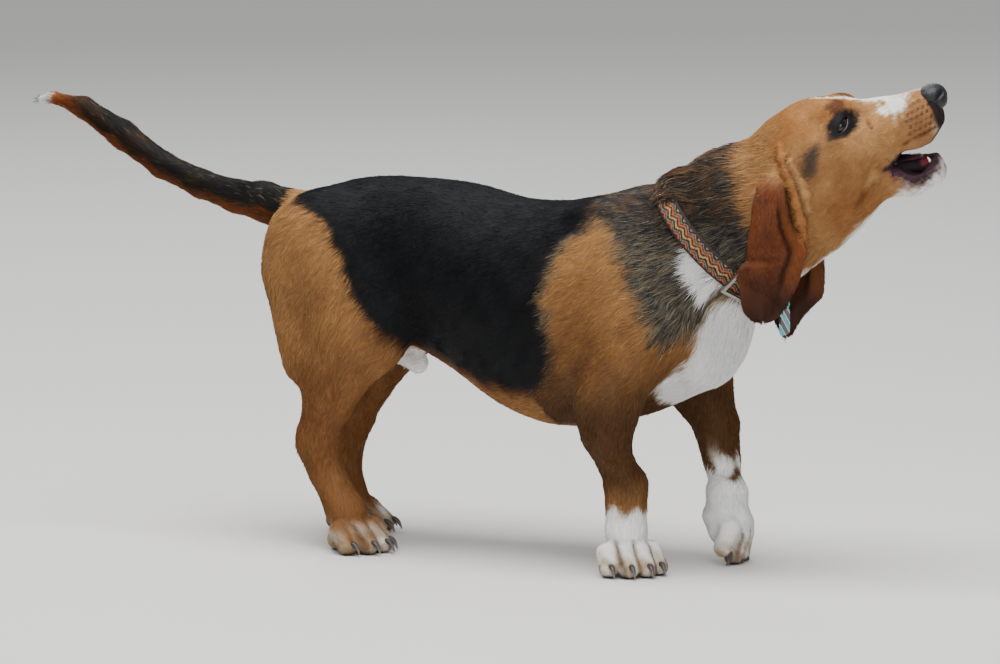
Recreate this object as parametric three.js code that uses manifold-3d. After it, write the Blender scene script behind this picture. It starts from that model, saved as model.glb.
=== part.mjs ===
// A basset hound standing with its head raised and its mouth open, as a still life-size model.
// Millimetres. +X runs to the dog's front, +Y to its left and +Z up. The floor is z = 0.
// The body is one smooth form, made by melting named masses together, and is parted with thin cuts.

import * as THREE from 'three';
import { mergeVertices } from 'three/addons/utils/BufferGeometryUtils.js';
import Module from 'manifold-3d';

const wasm = await Module();
wasm.setup();

// Driving dimensions

const gap = 0.3;
const earThickness = 4.5;
const earRightDrop = 153.5;
const earLeftDrop = 186;
const eyeRadius = 10.2;
const lidThickness = 2.3;
const collarWidth = 19;
const collarThickness = 2.6;
const loopSize = 25;
const loopWire = 3;
const tagWidth = 20;
const tagHeight = 26;
const tagThickness = 2;

// The head's own frame: origin on the occiput, x along the muzzle, y to the left ear, z out of the skull.
const headOrigin = [125.6, 12, 424];
const headYaw = 20;
const headPitch = 17.4;
const headRoll = 4;

// The trunk at stations along the back: x, height of the back, height of the underside, half width
const trunk = [
  [-356, 326, 246, 56],
  [-330, 337, 228, 70],
  [-290, 346, 204, 73],
  [-240, 348, 190, 73],
  [-190, 346, 169, 83],
  [-135, 336, 139, 95],
  [-85, 337, 126, 100],
  [-40, 346, 131, 97],
  [10, 353, 143, 87],
  [66, 305, 169, 66],
];
const rumpDepth = 22;
const breastDepth = 35;

// Neck axis from the shoulders to the nape: x, y, z, radius in depth, half width
const neck = [
  [16, 0, 270, 76, 72],
  [70, 2, 304, 73, 58],
  [98, 7, 329, 72, 54],
  [140, 22, 355, 63, 48],
  [168, 32, 371, 57, 44],
];

// Tail axis from root to tip: x, z, radius
const tail = [
  [-346, 292, 22],
  [-382, 306, 21],
  [-412, 314, 18],
  [-440, 316.5, 15],
  [-480, 326, 13],
  [-522, 341, 12],
  [-566, 367, 13],
  [-609, 390, 9.5],
  [-641, 397, 5],
  [-664, 394, 1.8],
];
const tailSides = 12;

// Each leg from the body down: x, y, z, radius in depth, half width. Sides are given for the right leg, -y.
const foreRight = {
  shoulder: [[28, -58, 240, 36, 28], [-20, -42, 318, 27, 17]],
  upperArm: [[30, -62, 226, 33, 30], [6, -80, 162, 31, 27]],
  forearm: [[4, -80, 160, 28, 26], [2, -76, 134, 25, 24], [4, -66, 110, 19, 18.5]],
  wrist: [[12, -57, 83, 20.5, 20], [11, -55, 62, 17.8, 17.5], [11, -55, 40, 17.5, 19]],
  paw: { at: [12, -56], turn: -40, heel: 0, lean: 0 },
};
const foreLeft = {
  shoulder: [[28, 58, 240, 36, 28], [-20, 42, 318, 27, 17]],
  upperArm: [[28, 62, 226, 33, 30], [14, 78, 162, 30, 27]],
  forearm: [[15, 79, 158, 28, 26], [34, 74, 126, 23, 22], [47, 62, 94, 18.5, 18]],
  wrist: [[57, 54, 64, 19.5, 19], [60, 51, 44, 17, 18], [60, 50, 32, 15, 19]],
  paw: { at: [46, 50], turn: 12, heel: 30.5, lean: 62 },
};
const hindRight = {
  haunch: [[-322, -44, 276, 58, 40], [-262, -66, 214, 46, 27]],
  hamstring: [[-350, -44, 254, 33, 28], [-325, -62, 180, 29, 22]],
  gaskin: [[-278, -70, 196, 40, 24], [-303, -66, 142, 26, 19], [-316, -62, 112, 19, 16]],
  hock: [[-319, -60, 97, 20, 15], [-308, -59, 70, 15.5, 14.5], [-290, -58, 38, 16, 18]],
  paw: { at: [-283, -58], turn: -14, heel: 0, lean: 0 },
};
const hindLeft = {
  haunch: [[-326, 44, 276, 58, 40], [-286, 64, 216, 44, 27]],
  hamstring: [[-348, 44, 258, 32, 28], [-340, 60, 178, 24, 21]],
  gaskin: [[-312, 66, 186, 37, 24], [-334, 62, 146, 27, 19], [-345, 60, 114, 19, 16]],
  hock: [[-355, 58, 96, 20, 15], [-358, 56, 64, 15.5, 14.5], [-354, 55, 36, 16, 18]],
  paw: { at: [-348, 54], turn: 8, heel: 0, lean: 0 },
};

// A paw, in its own frame, x forward: each toe's side place, knuckle, tip and radius
const toes = [
  { side: -22, knuckle: 6, tip: 19, radius: 10 },
  { side: -8, knuckle: 14, tip: 30, radius: 10.5 },
  { side: 8, knuckle: 14, tip: 30, radius: 10.5 },
  { side: 22, knuckle: 6, tip: 19, radius: 10 },
];
const padPress = 2.2;
const clawLength = 15;
const clawRadius = 3.2;

// Small helpers

const radians = (degrees) => degrees * Math.PI / 180;
const sub = (a, b) => [a[0] - b[0], a[1] - b[1], a[2] - b[2]];
const add = (a, b) => [a[0] + b[0], a[1] + b[1], a[2] + b[2]];
const scaled = (a, s) => [a[0] * s, a[1] * s, a[2] * s];
const dot = (a, b) => a[0] * b[0] + a[1] * b[1] + a[2] * b[2];
const cross = (a, b) => [a[1] * b[2] - a[2] * b[1], a[2] * b[0] - a[0] * b[2], a[0] * b[1] - a[1] * b[0]];
const unit = (a) => scaled(a, 1 / Math.hypot(...a));
const clamp = (v, low, high) => Math.min(high, Math.max(low, v));

// A smooth value between the rows of a table whose first column rises
function readTable(rows, x, column) {
  const last = rows.length - 1;
  const t = clamp(x, rows[0][0], rows[last][0]);
  let i = 0;
  while (i < last - 1 && rows[i + 1][0] < t) i++;
  const slope = (a, b) => (rows[b][column] - rows[a][column]) / (rows[b][0] - rows[a][0]);
  const step = rows[i + 1][0] - rows[i][0];
  const s = (t - rows[i][0]) / step;
  const startSlope = slope(Math.max(i - 1, 0), i + 1) * step;
  const endSlope = slope(i, Math.min(i + 2, last)) * step;
  const s2 = s * s;
  const s3 = s2 * s;
  return rows[i][column] * (2 * s3 - 3 * s2 + 1) + startSlope * (s3 - 2 * s2 + s)
    + rows[i + 1][column] * (3 * s2 - 2 * s3) + endSlope * (s3 - s2);
}

// The head's frame in the dog's
function headAxes() {
  const yaw = radians(headYaw);
  const pitch = radians(headPitch);
  const roll = radians(headRoll);
  const x = [Math.cos(yaw) * Math.cos(pitch), Math.sin(yaw) * Math.cos(pitch), Math.sin(pitch)];
  const level = [-Math.sin(yaw), Math.cos(yaw), 0];
  const up = cross(x, level);
  const y = add(scaled(level, Math.cos(roll)), scaled(up, Math.sin(roll)));
  return { x, y, z: cross(x, y) };
}
const head = headAxes();
const fromHead = ([x, y, z]) => add(headOrigin, add(add(scaled(head.x, x), scaled(head.y, y)), scaled(head.z, z)));
const toHead = (p) => {
  const q = sub(p, headOrigin);
  return [dot(q, head.x), dot(q, head.y), dot(q, head.z)];
};
const headTurn = ([x, y, z]) => add(add(scaled(head.x, x), scaled(head.y, y)), scaled(head.z, z));

// Masses: each is a function of a point that is negative inside

const ball = (centre, radii) => (p) => {
  const q = sub(p, centre);
  const near = Math.hypot(q[0] / radii[0], q[1] / radii[1], q[2] / radii[2]);
  const steep = Math.hypot(q[0] / radii[0] ** 2, q[1] / radii[1] ** 2, q[2] / radii[2] ** 2);
  return steep > 0 ? near * (near - 1) / steep : -Math.min(...radii);
};

// A round-ended limb between two rows of x, y, z, radius in depth, half width, flattened sideways along "flat"
const limb = (start, end, flat = [0, 1, 0]) => {
  const axis = sub(end, start);
  const length2 = dot(axis, axis);
  return (p) => {
    const t = clamp(dot(sub(p, start), axis) / length2, 0, 1);
    const q = sub(p, add(start, scaled(axis, t)));
    const depth = start[3] + (end[3] - start[3]) * t;
    const width = start[4] + (end[4] - start[4]) * t;
    const across = dot(q, flat);
    const along2 = Math.max(dot(q, q) - across * across, 0);
    const near = Math.sqrt(along2 / depth ** 2 + (across / width) ** 2);
    const steep = Math.sqrt(along2 / depth ** 4 + (across / width ** 2) ** 2);
    return steep > 0 ? near * (near - 1) / steep : -Math.min(depth, width);
  };
};
const chain = (rows, flat) => {
  const pieces = rows.slice(1).map((row, i) => limb(rows[i], row, flat));
  return melt(4, ...pieces);
};
function melt(softness, ...masses) {
  return (p) => masses.map((mass) => mass(p)).reduce((a, b) => {
    const h = Math.max(softness - Math.abs(a - b), 0) / softness;
    return Math.min(a, b) - h * h * softness / 4;
  });
}
function carve(softness, mass, hole) {
  return (p) => {
    const a = mass(p);
    const b = -hole(p);
    const h = Math.max(softness - Math.abs(a - b), 0) / softness;
    return Math.max(a, b) + h * h * softness / 4;
  };
}
const inHead = (mass) => (p) => mass(toHead(p));
const bothSides = (make) => [make(-1), make(1)];

// The trunk, lofted from its stations with a rounded rump and breast
function trunkMass(p) {
  const first = trunk[0][0];
  const last = trunk[trunk.length - 1][0];
  const x = clamp(p[0], first, last);
  const top = readTable(trunk, x, 1);
  const bottom = readTable(trunk, x, 2);
  const halfWidth = readTable(trunk, x, 3);
  const cap = p[0] < first ? rumpDepth : breastDepth;
  return ball([x, 0, (top + bottom) / 2], [cap, halfWidth, (top - bottom) / 2])(p);
}

// The head, in its own frame, with its mouth still shut

const headMasses = melt(10,
  ball([36, 0, -34], [52, 41, 44]),
  ball([3, 0, -13], [13, 13, 13]),
  ...bothSides((s) => ball([63, 19 * s, -9], [17, 13, 13])),
  limb([70, 0, -17, 17, 15], [102, 0, -26, 16, 15]),
  limb([102, 0, -26, 16, 15], [146, 0, -23, 13, 14]),
  ...bothSides((s) => limb([20, 38 * s, -38, 9, 8], [62, 34 * s, -41, 10, 8])),
  ...bothSides((s) => ball([42, 25 * s, -52], [36, 20, 38])),
  ...bothSides((s) => limb([76, 21 * s, -44, 23, 15], [104, 16 * s, -43, 21, 14])),
  ...bothSides((s) => limb([104, 16 * s, -43, 21, 14], [138, 12 * s, -37, 17, 12])),
  ball([140, 0, -41], [16, 17.5, 19]),
  ...bothSides((s) => limb([108, 16 * s, -50, 12, 10], [136, 11 * s, -49, 12.5, 9])),
);
const jawMasses = melt(8,
  ...bothSides((s) => limb([22, 25 * s, -76, 20, 15], [72, 19 * s, -80, 16, 12])),
  ...bothSides((s) => limb([72, 19 * s, -80, 16, 12], [112, 11 * s, -88, 15, 12])),
  ...bothSides((s) => limb([112, 11 * s, -87, 15, 12], [129, 5 * s, -86.5, 15, 12])),
  limb([86, 0, -80, 15, 18], [30, 0, -84, 38, 34]),
);

// The open mouth: the room between the upper lip's edge and the lower lip's, with the palate's hollow and the gums
// Along the head: x, height of the upper lip's edge, height of the lower lip's
const lips = [
  [90, -74, -67],
  [99, -72, -69.5],
  [105, -68.5, -72],
  [110, -62.5, -78],
  [116, -60.5, -82.5],
  [122, -61.5, -84],
  [128, -63.4, -82.5],
  [132, -63.6, -79.5],
  [137, -62.2, -74.5],
  [142, -60, -72],
  [149, -54, -73],
  [156, -48, -78],
  [166, -44, -84],
];
const mouthBack = 96;
const mouthWedge = (p) => {
  const upper = p[2] - readTable(lips, p[0], 1);
  const lower = readTable(lips, p[0], 2) - p[2];
  return Math.max(Math.max(upper, lower) * 0.9, mouthBack - p[0]);
};
const mouthHollow = melt(3, mouthWedge, ball([124, 0, -62], [24, 12, 9]), ball([124, 0, -79], [17, 9, 6]));
const gumRidge = melt(3,
  ...bothSides((s) => limb([106, 10 * s, -76, 7, 6], [126, 9 * s, -78, 6.2, 5.2])),
  ...bothSides((s) => limb([126, 9 * s, -78, 6.2, 5.2], [137, 4.5 * s, -77.5, 5.4, 5])),
);
const socket = (s) => ball([79, 35 * s, -19], [11, 8, 8]);
const headShape = melt(1.5, carve(3, melt(9, headMasses, jawMasses), mouthHollow), gumRidge);
const headWithEyes = carve(5, carve(5, headShape, socket(-1)), socket(1));

// The whole body

function legMasses(leg) {
  return Object.entries(leg).filter(([name]) => name !== 'paw').map(([, rows]) => chain(rows));
}
const sheath = limb([-268, 0, 186, 14, 12], [-244, 0, 172, 10, 9]);
const dewlap = limb([124, 8, 292, 24, 15], [172, 24, 326, 24, 16]);
const body = melt(22,
  trunkMass,
  chain(neck),
  dewlap,
  inHead(headWithEyes),
  ...[foreRight, foreLeft, hindRight, hindLeft].map((leg) => melt(16, ...legMasses(leg))),
  sheath,
);
const headBody = melt(22, chain(neck), dewlap, inHead(headWithEyes));

// Closed surfaces from a mass: a point for each patch of surface in a cell, joined by four-sided faces

const cellCorners = [0, 1, 2, 3, 4, 5, 6, 7].map((c) => [c & 1, (c >> 1) & 1, (c >> 2) & 1]);
const cellEdges = cellCorners.flatMap((_, c) => [1, 2, 4].filter((bit) => !(c & bit)).map((bit) => [c, c | bit]));
const cellFaces = [[1, 2, 4], [2, 4, 1], [4, 1, 2]].flatMap(([p, q, out]) =>
  [0, out].map((base) => [base, base | p, base | q, base | p | q]));

function crossing(values, edge) {
  const [from, to] = cellEdges[edge];
  const t = values[from] / (values[from] - values[to]);
  return cellCorners[from].map((v, axis) => v + (cellCorners[to][axis] - v) * t);
}

// Groups a cell's crossed edges into patches, linked across each face; where a face has two diagonal corners
// inside, each corner keeps a patch of its own
function surfacePatches(values) {
  const inside = values.map((v) => v < 0);
  const patchOf = cellEdges.map(([from, to], n) => (inside[from] === inside[to] ? -1 : n));
  const link = (a, b) => {
    const [keep, lose] = [patchOf[a], patchOf[b]];
    patchOf.forEach((n, i) => { if (n === lose) patchOf[i] = keep; });
  };
  for (const face of cellFaces) {
    const around = cellEdges.map((edge, n) => (edge.every((c) => face.includes(c)) ? n : -1)).filter((n) => n >= 0);
    const crossed = around.filter((n) => patchOf[n] >= 0);
    if (crossed.length === 2) link(...crossed);
    if (crossed.length === 4) {
      for (const corner of face.filter((c) => inside[c])) {
        link(...crossed.filter((n) => cellEdges[n].includes(corner)));
      }
    }
  }
  const names = [...new Set(patchOf)].filter((n) => n >= 0);
  return names.map((name) => patchOf.map((n, i) => (n === name ? i : -1)).filter((n) => n >= 0));
}

function polygonise(mass, low, high, cell, tolerance = 0) {
  const count = low.map((v, i) => Math.ceil((high[i] - v) / cell[i]) + 1);
  const place = (i, j, k) => [low[0] + i * cell[0], low[1] + j * cell[1], low[2] + k * cell[2]];
  const index = (i, j, k) => (k * count[1] + j) * count[0] + i;
  const values = new Float64Array(count[0] * count[1] * count[2]);
  for (let k = 0; k < count[2]; k++) {
    for (let j = 0; j < count[1]; j++) {
      for (let i = 0; i < count[0]; i++) {
        const edge = [i, j, k].some((v, axis) => v === 0 || v === count[axis] - 1);
        const value = mass(place(i, j, k));
        values[index(i, j, k)] = edge ? Math.max(value, 0.5) : value;
      }
    }
  }
  const points = [];
  const pointOf = new Map();
  for (let k = 0; k < count[2] - 1; k++) {
    for (let j = 0; j < count[1] - 1; j++) {
      for (let i = 0; i < count[0] - 1; i++) {
        const v = cellCorners.map(([a, b, c]) => values[index(i + a, j + b, k + c)]);
        if (v.every((d) => d < 0) || v.every((d) => d >= 0)) continue;
        const inner = i > 0 && j > 0 && k > 0 && i < count[0] - 2 && j < count[1] - 2 && k < count[2] - 2;
        for (const patch of surfacePatches(v)) {
          const sum = patch.reduce((total, edge) => add(total, crossing(v, edge)), [0, 0, 0]);
          const mean = scaled(sum, 1 / patch.length);
          const point = place(i + mean[0], j + mean[1], k + mean[2]);
          patch.forEach((edge) => pointOf.set(index(i, j, k) * 12 + edge, points.length));
          points.push(inner ? settle(mass, point, Math.min(...cell) * 0.35) : point);
        }
      }
    }
  }
  const faces = [];
  const quad = (ring, flip) => {
    const [a, b, c, d] = flip ? [ring[0], ring[3], ring[2], ring[1]] : ring;
    const [p, q, r, s] = [a, b, c, d].map((n) => points[n]);
    const shortFirst = Math.hypot(...sub(p, r)) < Math.hypot(...sub(q, s));
    const [w, x, y, z] = shortFirst ? [a, b, c, d] : [b, c, d, a];
    faces.push(w, x, y, w, y, z);
  };
  for (let k = 0; k < count[2] - 1; k++) {
    for (let j = 0; j < count[1] - 1; j++) {
      for (let i = 0; i < count[0] - 1; i++) {
        const here = values[index(i, j, k)] < 0;
        for (let axis = 0; axis < 3; axis++) {
          const step = [0, 1, 2].map((a) => (a === axis ? 1 : 0));
          if (here === (values[index(i + step[0], j + step[1], k + step[2])] < 0)) continue;
          const ring = [[1, 1], [0, 1], [0, 0], [1, 0]].map(([p, q]) => {
            const back = [0, 0, 0];
            back[(axis + 1) % 3] = p;
            back[(axis + 2) % 3] = q;
            const corner = back[0] + 2 * back[1] + 4 * back[2];
            const edge = cellEdges.findIndex(([from, to]) => from === corner && to === (corner | (1 << axis)));
            return pointOf.get(index(i - back[0], j - back[1], k - back[2]) * 12 + edge);
          });
          quad(ring, !here);
        }
      }
    }
  }
  return tolerance ? thinned(points, faces, tolerance) : solidOf(points.flat(), faces);
}

// Thins a closed surface: edges collapse, the cheapest first, while no point leaves the faces it came from by
// more than about "tolerance"
function thinned(points, triangles, tolerance) {
  const at = points.map((p) => [...p]);
  const around = at.map(() => new Set());
  const faces = [];
  for (let f = 0; f < triangles.length; f += 3) {
    faces.push(triangles.slice(f, f + 3));
    for (const v of faces[faces.length - 1]) around[v].add(faces.length - 1);
  }
  const normalOf = (a, b, c) => cross(sub(b, a), sub(c, a));
  const planesOf = at.map((_, v) => [...around[v]].map((f) => {
    const [a, b, c] = faces[f].map((n) => at[n]);
    const normal = unit(normalOf(a, b, c));
    return [...normal, -dot(normal, a)];
  }));
  const farFrom = (planes, p) => planes.reduce((far, plane) => Math.max(far, Math.abs(dot(plane, p) + plane[3])), 0);
  const neighbours = (v) => {
    const near = new Set();
    for (const f of around[v]) for (const n of faces[f]) if (n !== v) near.add(n);
    return near;
  };
  const keepsShape = (v, other, target) => [...around[v]].every((f) => {
    if (faces[f].includes(other)) return true;
    const old = faces[f].map((n) => at[n]);
    const now = faces[f].map((n) => (n === v ? target : at[n]));
    const before = normalOf(...old);
    const after = normalOf(...now);
    const size = Math.hypot(...after);
    const longest = Math.max(...now.map((p, i) => Math.hypot(...sub(p, now[(i + 1) % 3]))));
    return dot(before, after) > 0.7 * size * Math.hypot(...before) && size > 0.12 * longest * longest;
  });
  for (let pass = 1; pass <= 24; pass++) {
    const limit = tolerance * Math.min(1, pass / 12);
    const choices = [];
    around.forEach((set, a) => {
      if (set.size === 0) return;
      for (const b of neighbours(a)) {
        if (b < a) continue;
        const planes = [...planesOf[a], ...planesOf[b]];
        const options = [at[a], at[b], scaled(add(at[a], at[b]), 0.5)];
        const costs = options.map((p) => farFrom(planes, p));
        const best = costs.indexOf(Math.min(...costs));
        if (costs[best] < limit) choices.push({ a, b, target: options[best], cost: costs[best] });
      }
    });
    choices.sort((p, q) => p.cost - q.cost);
    const touched = new Set();
    for (const { a, b, target } of choices) {
      if (touched.has(a) || touched.has(b)) continue;
      const nearA = neighbours(a);
      const shared = [...neighbours(b)].filter((n) => nearA.has(n));
      if (shared.length !== 2 || shared.some((n) => around[n].size <= 3)) continue;
      if (!keepsShape(a, b, target) || !keepsShape(b, a, target)) continue;
      for (const n of [...nearA, ...neighbours(b)]) touched.add(n);
      for (const f of [...around[b]]) {
        if (faces[f].includes(a)) {
          for (const n of faces[f]) around[n].delete(f);
          faces[f] = null;
        } else {
          faces[f] = faces[f].map((n) => (n === b ? a : n));
          around[a].add(f);
        }
      }
      around[b] = new Set();
      at[a] = target;
      planesOf[a] = [...planesOf[a], ...planesOf[b]].slice(0, 60);
    }
  }
  const left = faces.filter(Boolean);
  const renamed = new Map([...new Set(left.flat())].map((v, n) => [v, n]));
  return solidOf([...renamed.keys()].flatMap((v) => at[v]), left.flat().map((v) => renamed.get(v)));
}

// Moves a point onto the surface of a mass, by at most "reach"
function settle(mass, point, reach) {
  const step = 0.5;
  const value = mass(point);
  const slope = [0, 1, 2].map((axis) => {
    const beside = [...point];
    beside[axis] += step;
    return (mass(beside) - value) / step;
  });
  const steep = dot(slope, slope);
  const move = scaled(slope, -value / Math.max(steep, 0.05));
  const size = Math.hypot(...move);
  return add(point, size > reach ? scaled(move, reach / size) : move);
}

// Solids

function solidOf(coordinates, faces) {
  return new wasm.Manifold(new wasm.Mesh({
    numProp: 3,
    vertProperties: new Float32Array(coordinates),
    triVerts: new Uint32Array(faces),
  }));
}
function solidFrom(geometry) {
  const bare = geometry.clone();
  bare.deleteAttribute('normal');
  bare.deleteAttribute('uv');
  const merged = mergeVertices(bare, 1e-4);
  return solidOf(merged.attributes.position.array, merged.index.array);
}
function largest(solid) {
  const pieces = solid.decompose();
  return pieces.reduce((a, b) => (b.volume() > a.volume() ? b : a));
}

// Everything past a plane, as a solid: the plane goes through a point and faces along "outward"
function beyond(point, outward) {
  const size = 1600;
  const block = new THREE.BoxGeometry(size, size, size);
  block.translate(0, 0, size / 2);
  const turn = new THREE.Quaternion().setFromUnitVectors(new THREE.Vector3(0, 0, 1), new THREE.Vector3(...unit(outward)));
  block.applyQuaternion(turn);
  block.translate(...point);
  return solidFrom(block);
}
function block(low, high) {
  const box = new THREE.BoxGeometry(high[0] - low[0], high[1] - low[1], high[2] - low[2]);
  box.translate((low[0] + high[0]) / 2, (low[1] + high[1]) / 2, (low[2] + high[2]) / 2);
  return solidFrom(box);
}

// A parting cut: "before" trims the side that lies against the cut's direction, "after" the side along it
const cut = (point, direction) => ({ point, direction: unit(direction) });
const before = (solid, { point, direction }) =>
  solid.subtract(beyond(add(point, scaled(direction, -gap / 2)), direction));
const after = (solid, { point, direction }) =>
  solid.subtract(beyond(add(point, scaled(direction, gap / 2)), scaled(direction, -1)));

// Rings of points joined into a closed skin, with a flat end at each side
function loft(rings) {
  const sides = rings[0].length;
  const points = rings.flat();
  const faces = [];
  for (let r = 0; r + 1 < rings.length; r++) {
    for (let s = 0; s < sides; s++) {
      const a = r * sides + s;
      const b = r * sides + (s + 1) % sides;
      faces.push(a, b, b + sides, a, b + sides, a + sides);
    }
  }
  const lastRing = (rings.length - 1) * sides;
  for (let s = 1; s + 1 < sides; s++) {
    faces.push(0, s + 1, s, lastRing, lastRing + s, lastRing + s + 1);
  }
  return solidOf(points.flat(), faces);
}

// A bent taper through rows of x, y, z, radius
function taper(rows, sides) {
  const rings = rows.map((row, i) => {
    const forward = unit(sub(rows[Math.min(i + 1, rows.length - 1)], rows[Math.max(i - 1, 0)]));
    const aside = unit(cross([0.123, 1, 0.077], forward));
    const up = cross(forward, aside);
    return Array.from({ length: sides }, (_, s) => {
      const turn = 2 * Math.PI * s / sides;
      return add(row, add(scaled(aside, row[3] * Math.cos(turn)), scaled(up, row[3] * Math.sin(turn))));
    }).map((p) => p.slice(0, 3));
  });
  return loft(rings);
}

// Parting cuts

const cuts = {
  neckBase: cut([64, 0, 289], [0.616, 0, 0.788]),
  nape: cut(fromHead([-10, 0, 0]), headTurn([0.93, 0, 0.366])),
  tailRoot: cut([-384, 0, 305], [-1, 0, 0.3]),
  tailMiddle: cut([-486, 0, 328], [-1, 0, 0.33]),
  tailEnd: cut([-588, 0, 379], [-1, 0, 0.5]),
  jaw: cut(fromHead([99, 0, -70.5]), headTurn([0.222, 0, -0.975])),
};
function legCuts(side, leg, kind) {
  const fore = kind === 'fore';
  const last = fore ? leg.wrist : leg.hock;
  return {
    root: fore ? cut([0, 62 * side, 150], [0, 0.6 * side, -0.8]) : cut([0, 60 * side, 214], [0, 0.75 * side, -0.66]),
    knee: cut([leg.gaskin ? leg.gaskin[0][0] : 0, 0, 172], [0.1, 0, -1]),
    ankle: cut(last[0].slice(0, 3).map((v, i) => (i === 2 ? v - 8 : v)), [0.12, 0, -1]),
    bounds: fore ? [-70, 130] : [-430, -214],
  };
}

// Paws

function pawFrame({ at, turn, heel, lean }) {
  const yaw = radians(turn);
  const tilt = radians(lean);
  return ([x, y, z]) => {
    const forward = x * Math.cos(tilt) + (z) * Math.sin(tilt);
    const height = z * Math.cos(tilt) - x * Math.sin(tilt) + heel;
    return [
      at[0] + forward * Math.cos(yaw) - y * Math.sin(yaw),
      at[1] + forward * Math.sin(yaw) + y * Math.cos(yaw),
      height,
    ];
  };
}
function pawMass(leg) {
  const put = pawFrame(leg.paw);
  const last = (leg.wrist || leg.hock)[2];
  const toeMasses = toes.map(({ side, knuckle, tip, radius }) => limb(
    [...put([knuckle, side, 21]), radius, radius],
    [...put([tip, side * 1.12, radius - padPress]), radius - 0.5, radius - 0.5],
  ));
  const instep = limb([...last.slice(0, 3), last[3], last[4]], [...put([4, 0, 22]), 14, 19]);
  const heelPad = ball(put([-10, 0, 10]), [15, 17, 11.5]);
  return melt(5, melt(9, instep, heelPad, chain(leg.wrist || leg.hock)), ...toeMasses);
}
function claws(leg) {
  const put = pawFrame(leg.paw);
  return toes.map(({ side, tip, radius }) => {
    const wide = side * 1.12;
    return taper([
      [...put([tip + radius - 6, wide, radius + 2]), clawRadius],
      [...put([tip + radius + 1, wide, radius]), clawRadius * 0.9],
      [...put([tip + radius + clawLength - 8, wide * 1.03, 3]), 0.7],
    ].map(([x, y, z, r]) => [x, y, Math.max(z, r + 0.6), r]), 5);
  });
}

// Ears: a leather sheet that leaves the side of the head, drapes over cheek and neck, and hangs straight down

// Down each ear as a share of its drop: middle of the sheet, half width
const earRightOutline = [
  [0, -1, 6],
  [0.09, -4, 9],
  [0.17, -5.8, 12.8],
  [0.26, -6.6, 16.6],
  [0.39, -5.5, 19],
  [0.467, -3.6, 23.1],
  [0.547, -1.2, 26.5],
  [0.61, -3.2, 26.5],
  [0.66, -7.5, 28.6],
  [0.71, -9.8, 28.6],
  [0.77, -10, 26],
  [0.84, -12.4, 23.2],
  [0.908, -14.6, 19.4],
  [0.95, -15, 15.8],
  [0.985, -15, 9],
  [1, -15, 3],
];
const earLeftOutline = [
  [0, -1, 6],
  [0.09, -4, 9],
  [0.17, -5.8, 12.8],
  [0.26, -6.5, 16.5],
  [0.39, -5, 20],
  [0.5, -2, 24],
  [0.62, -2.4, 26.8],
  [0.7, -3.6, 28.2],
  [0.76, -4.4, 28.2],
  [0.8, -5.6, 26.6],
  [0.84, -8.2, 22],
  [0.88, -11, 16.4],
  [0.92, -12, 12],
  [0.96, -12.5, 8],
  [1, -13, 3],
];
const earRoot = (side) => [9.5 + 3.5 * side, 43 * side, -31];
const earRootDepth = 9;
const earRootArch = 14;
const earClearance = 3.5;
const earAcross = 8;
const earDown = 14;

function earFrame(side) {
  const yaw = radians(headYaw);
  return {
    origin: fromHead(earRoot(side)),
    forward: [Math.cos(yaw), Math.sin(yaw), 0],
    out: [-side * Math.sin(yaw), side * Math.cos(yaw), 0],
  };
}

// How far out of the ear's hanging plane the body's surface lies, found from outside inwards
function surfaceOut(point, out) {
  for (let t = 50; t > -40; t -= 1.5) {
    if (earGround(add(point, scaled(out, t))) < 0) return t;
  }
  return -40;
}
const earGround = melt(6, inHead(headMasses), inHead(jawMasses), chain(neck));
const softMax = (a, b, softness) => {
  const h = Math.max(softness - Math.abs(a - b), 0) / softness;
  return Math.max(a, b) + h * h * softness / 4;
};

function earPoint(frame, outline, drop, across, down) {
  const middle = readTable(outline, down, 1);
  const half = readTable(outline, down, 2);
  const fall = down * drop;
  const forward = middle + half * across;
  const level = add(frame.origin, add(scaled(frame.forward, forward), [0, 0, -fall]));
  const rise = clamp((fall - earRootArch * across * across) / 26, 0, 1);
  const rooted = surfaceOut(level, frame.out) - earRootDepth * (1 - rise) + (earClearance + earThickness) * rise;
  const hanging = 5 - 8 * down - 40 * (1 - rise);
  const cup = 4 * Math.max(across, 0) ** 2 * clamp(1.3 - down * 1.6, 0, 1) * rise;
  const lobe = 5 * clamp((down - 0.58) / 0.07, 0, 1) * clamp((0.35 - across) / 0.5, 0, 1);
  const frontEdge = clamp((across - 0.22) / 0.4, 0, 1);
  const strip = 5 * frontEdge * clamp((down - 0.2) / 0.14, 0, 1) * clamp((0.86 - down) / 0.14, 0, 1);
  return { level, out: softMax(rooted, hanging, 10) + cup + lobe - strip };
}

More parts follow.
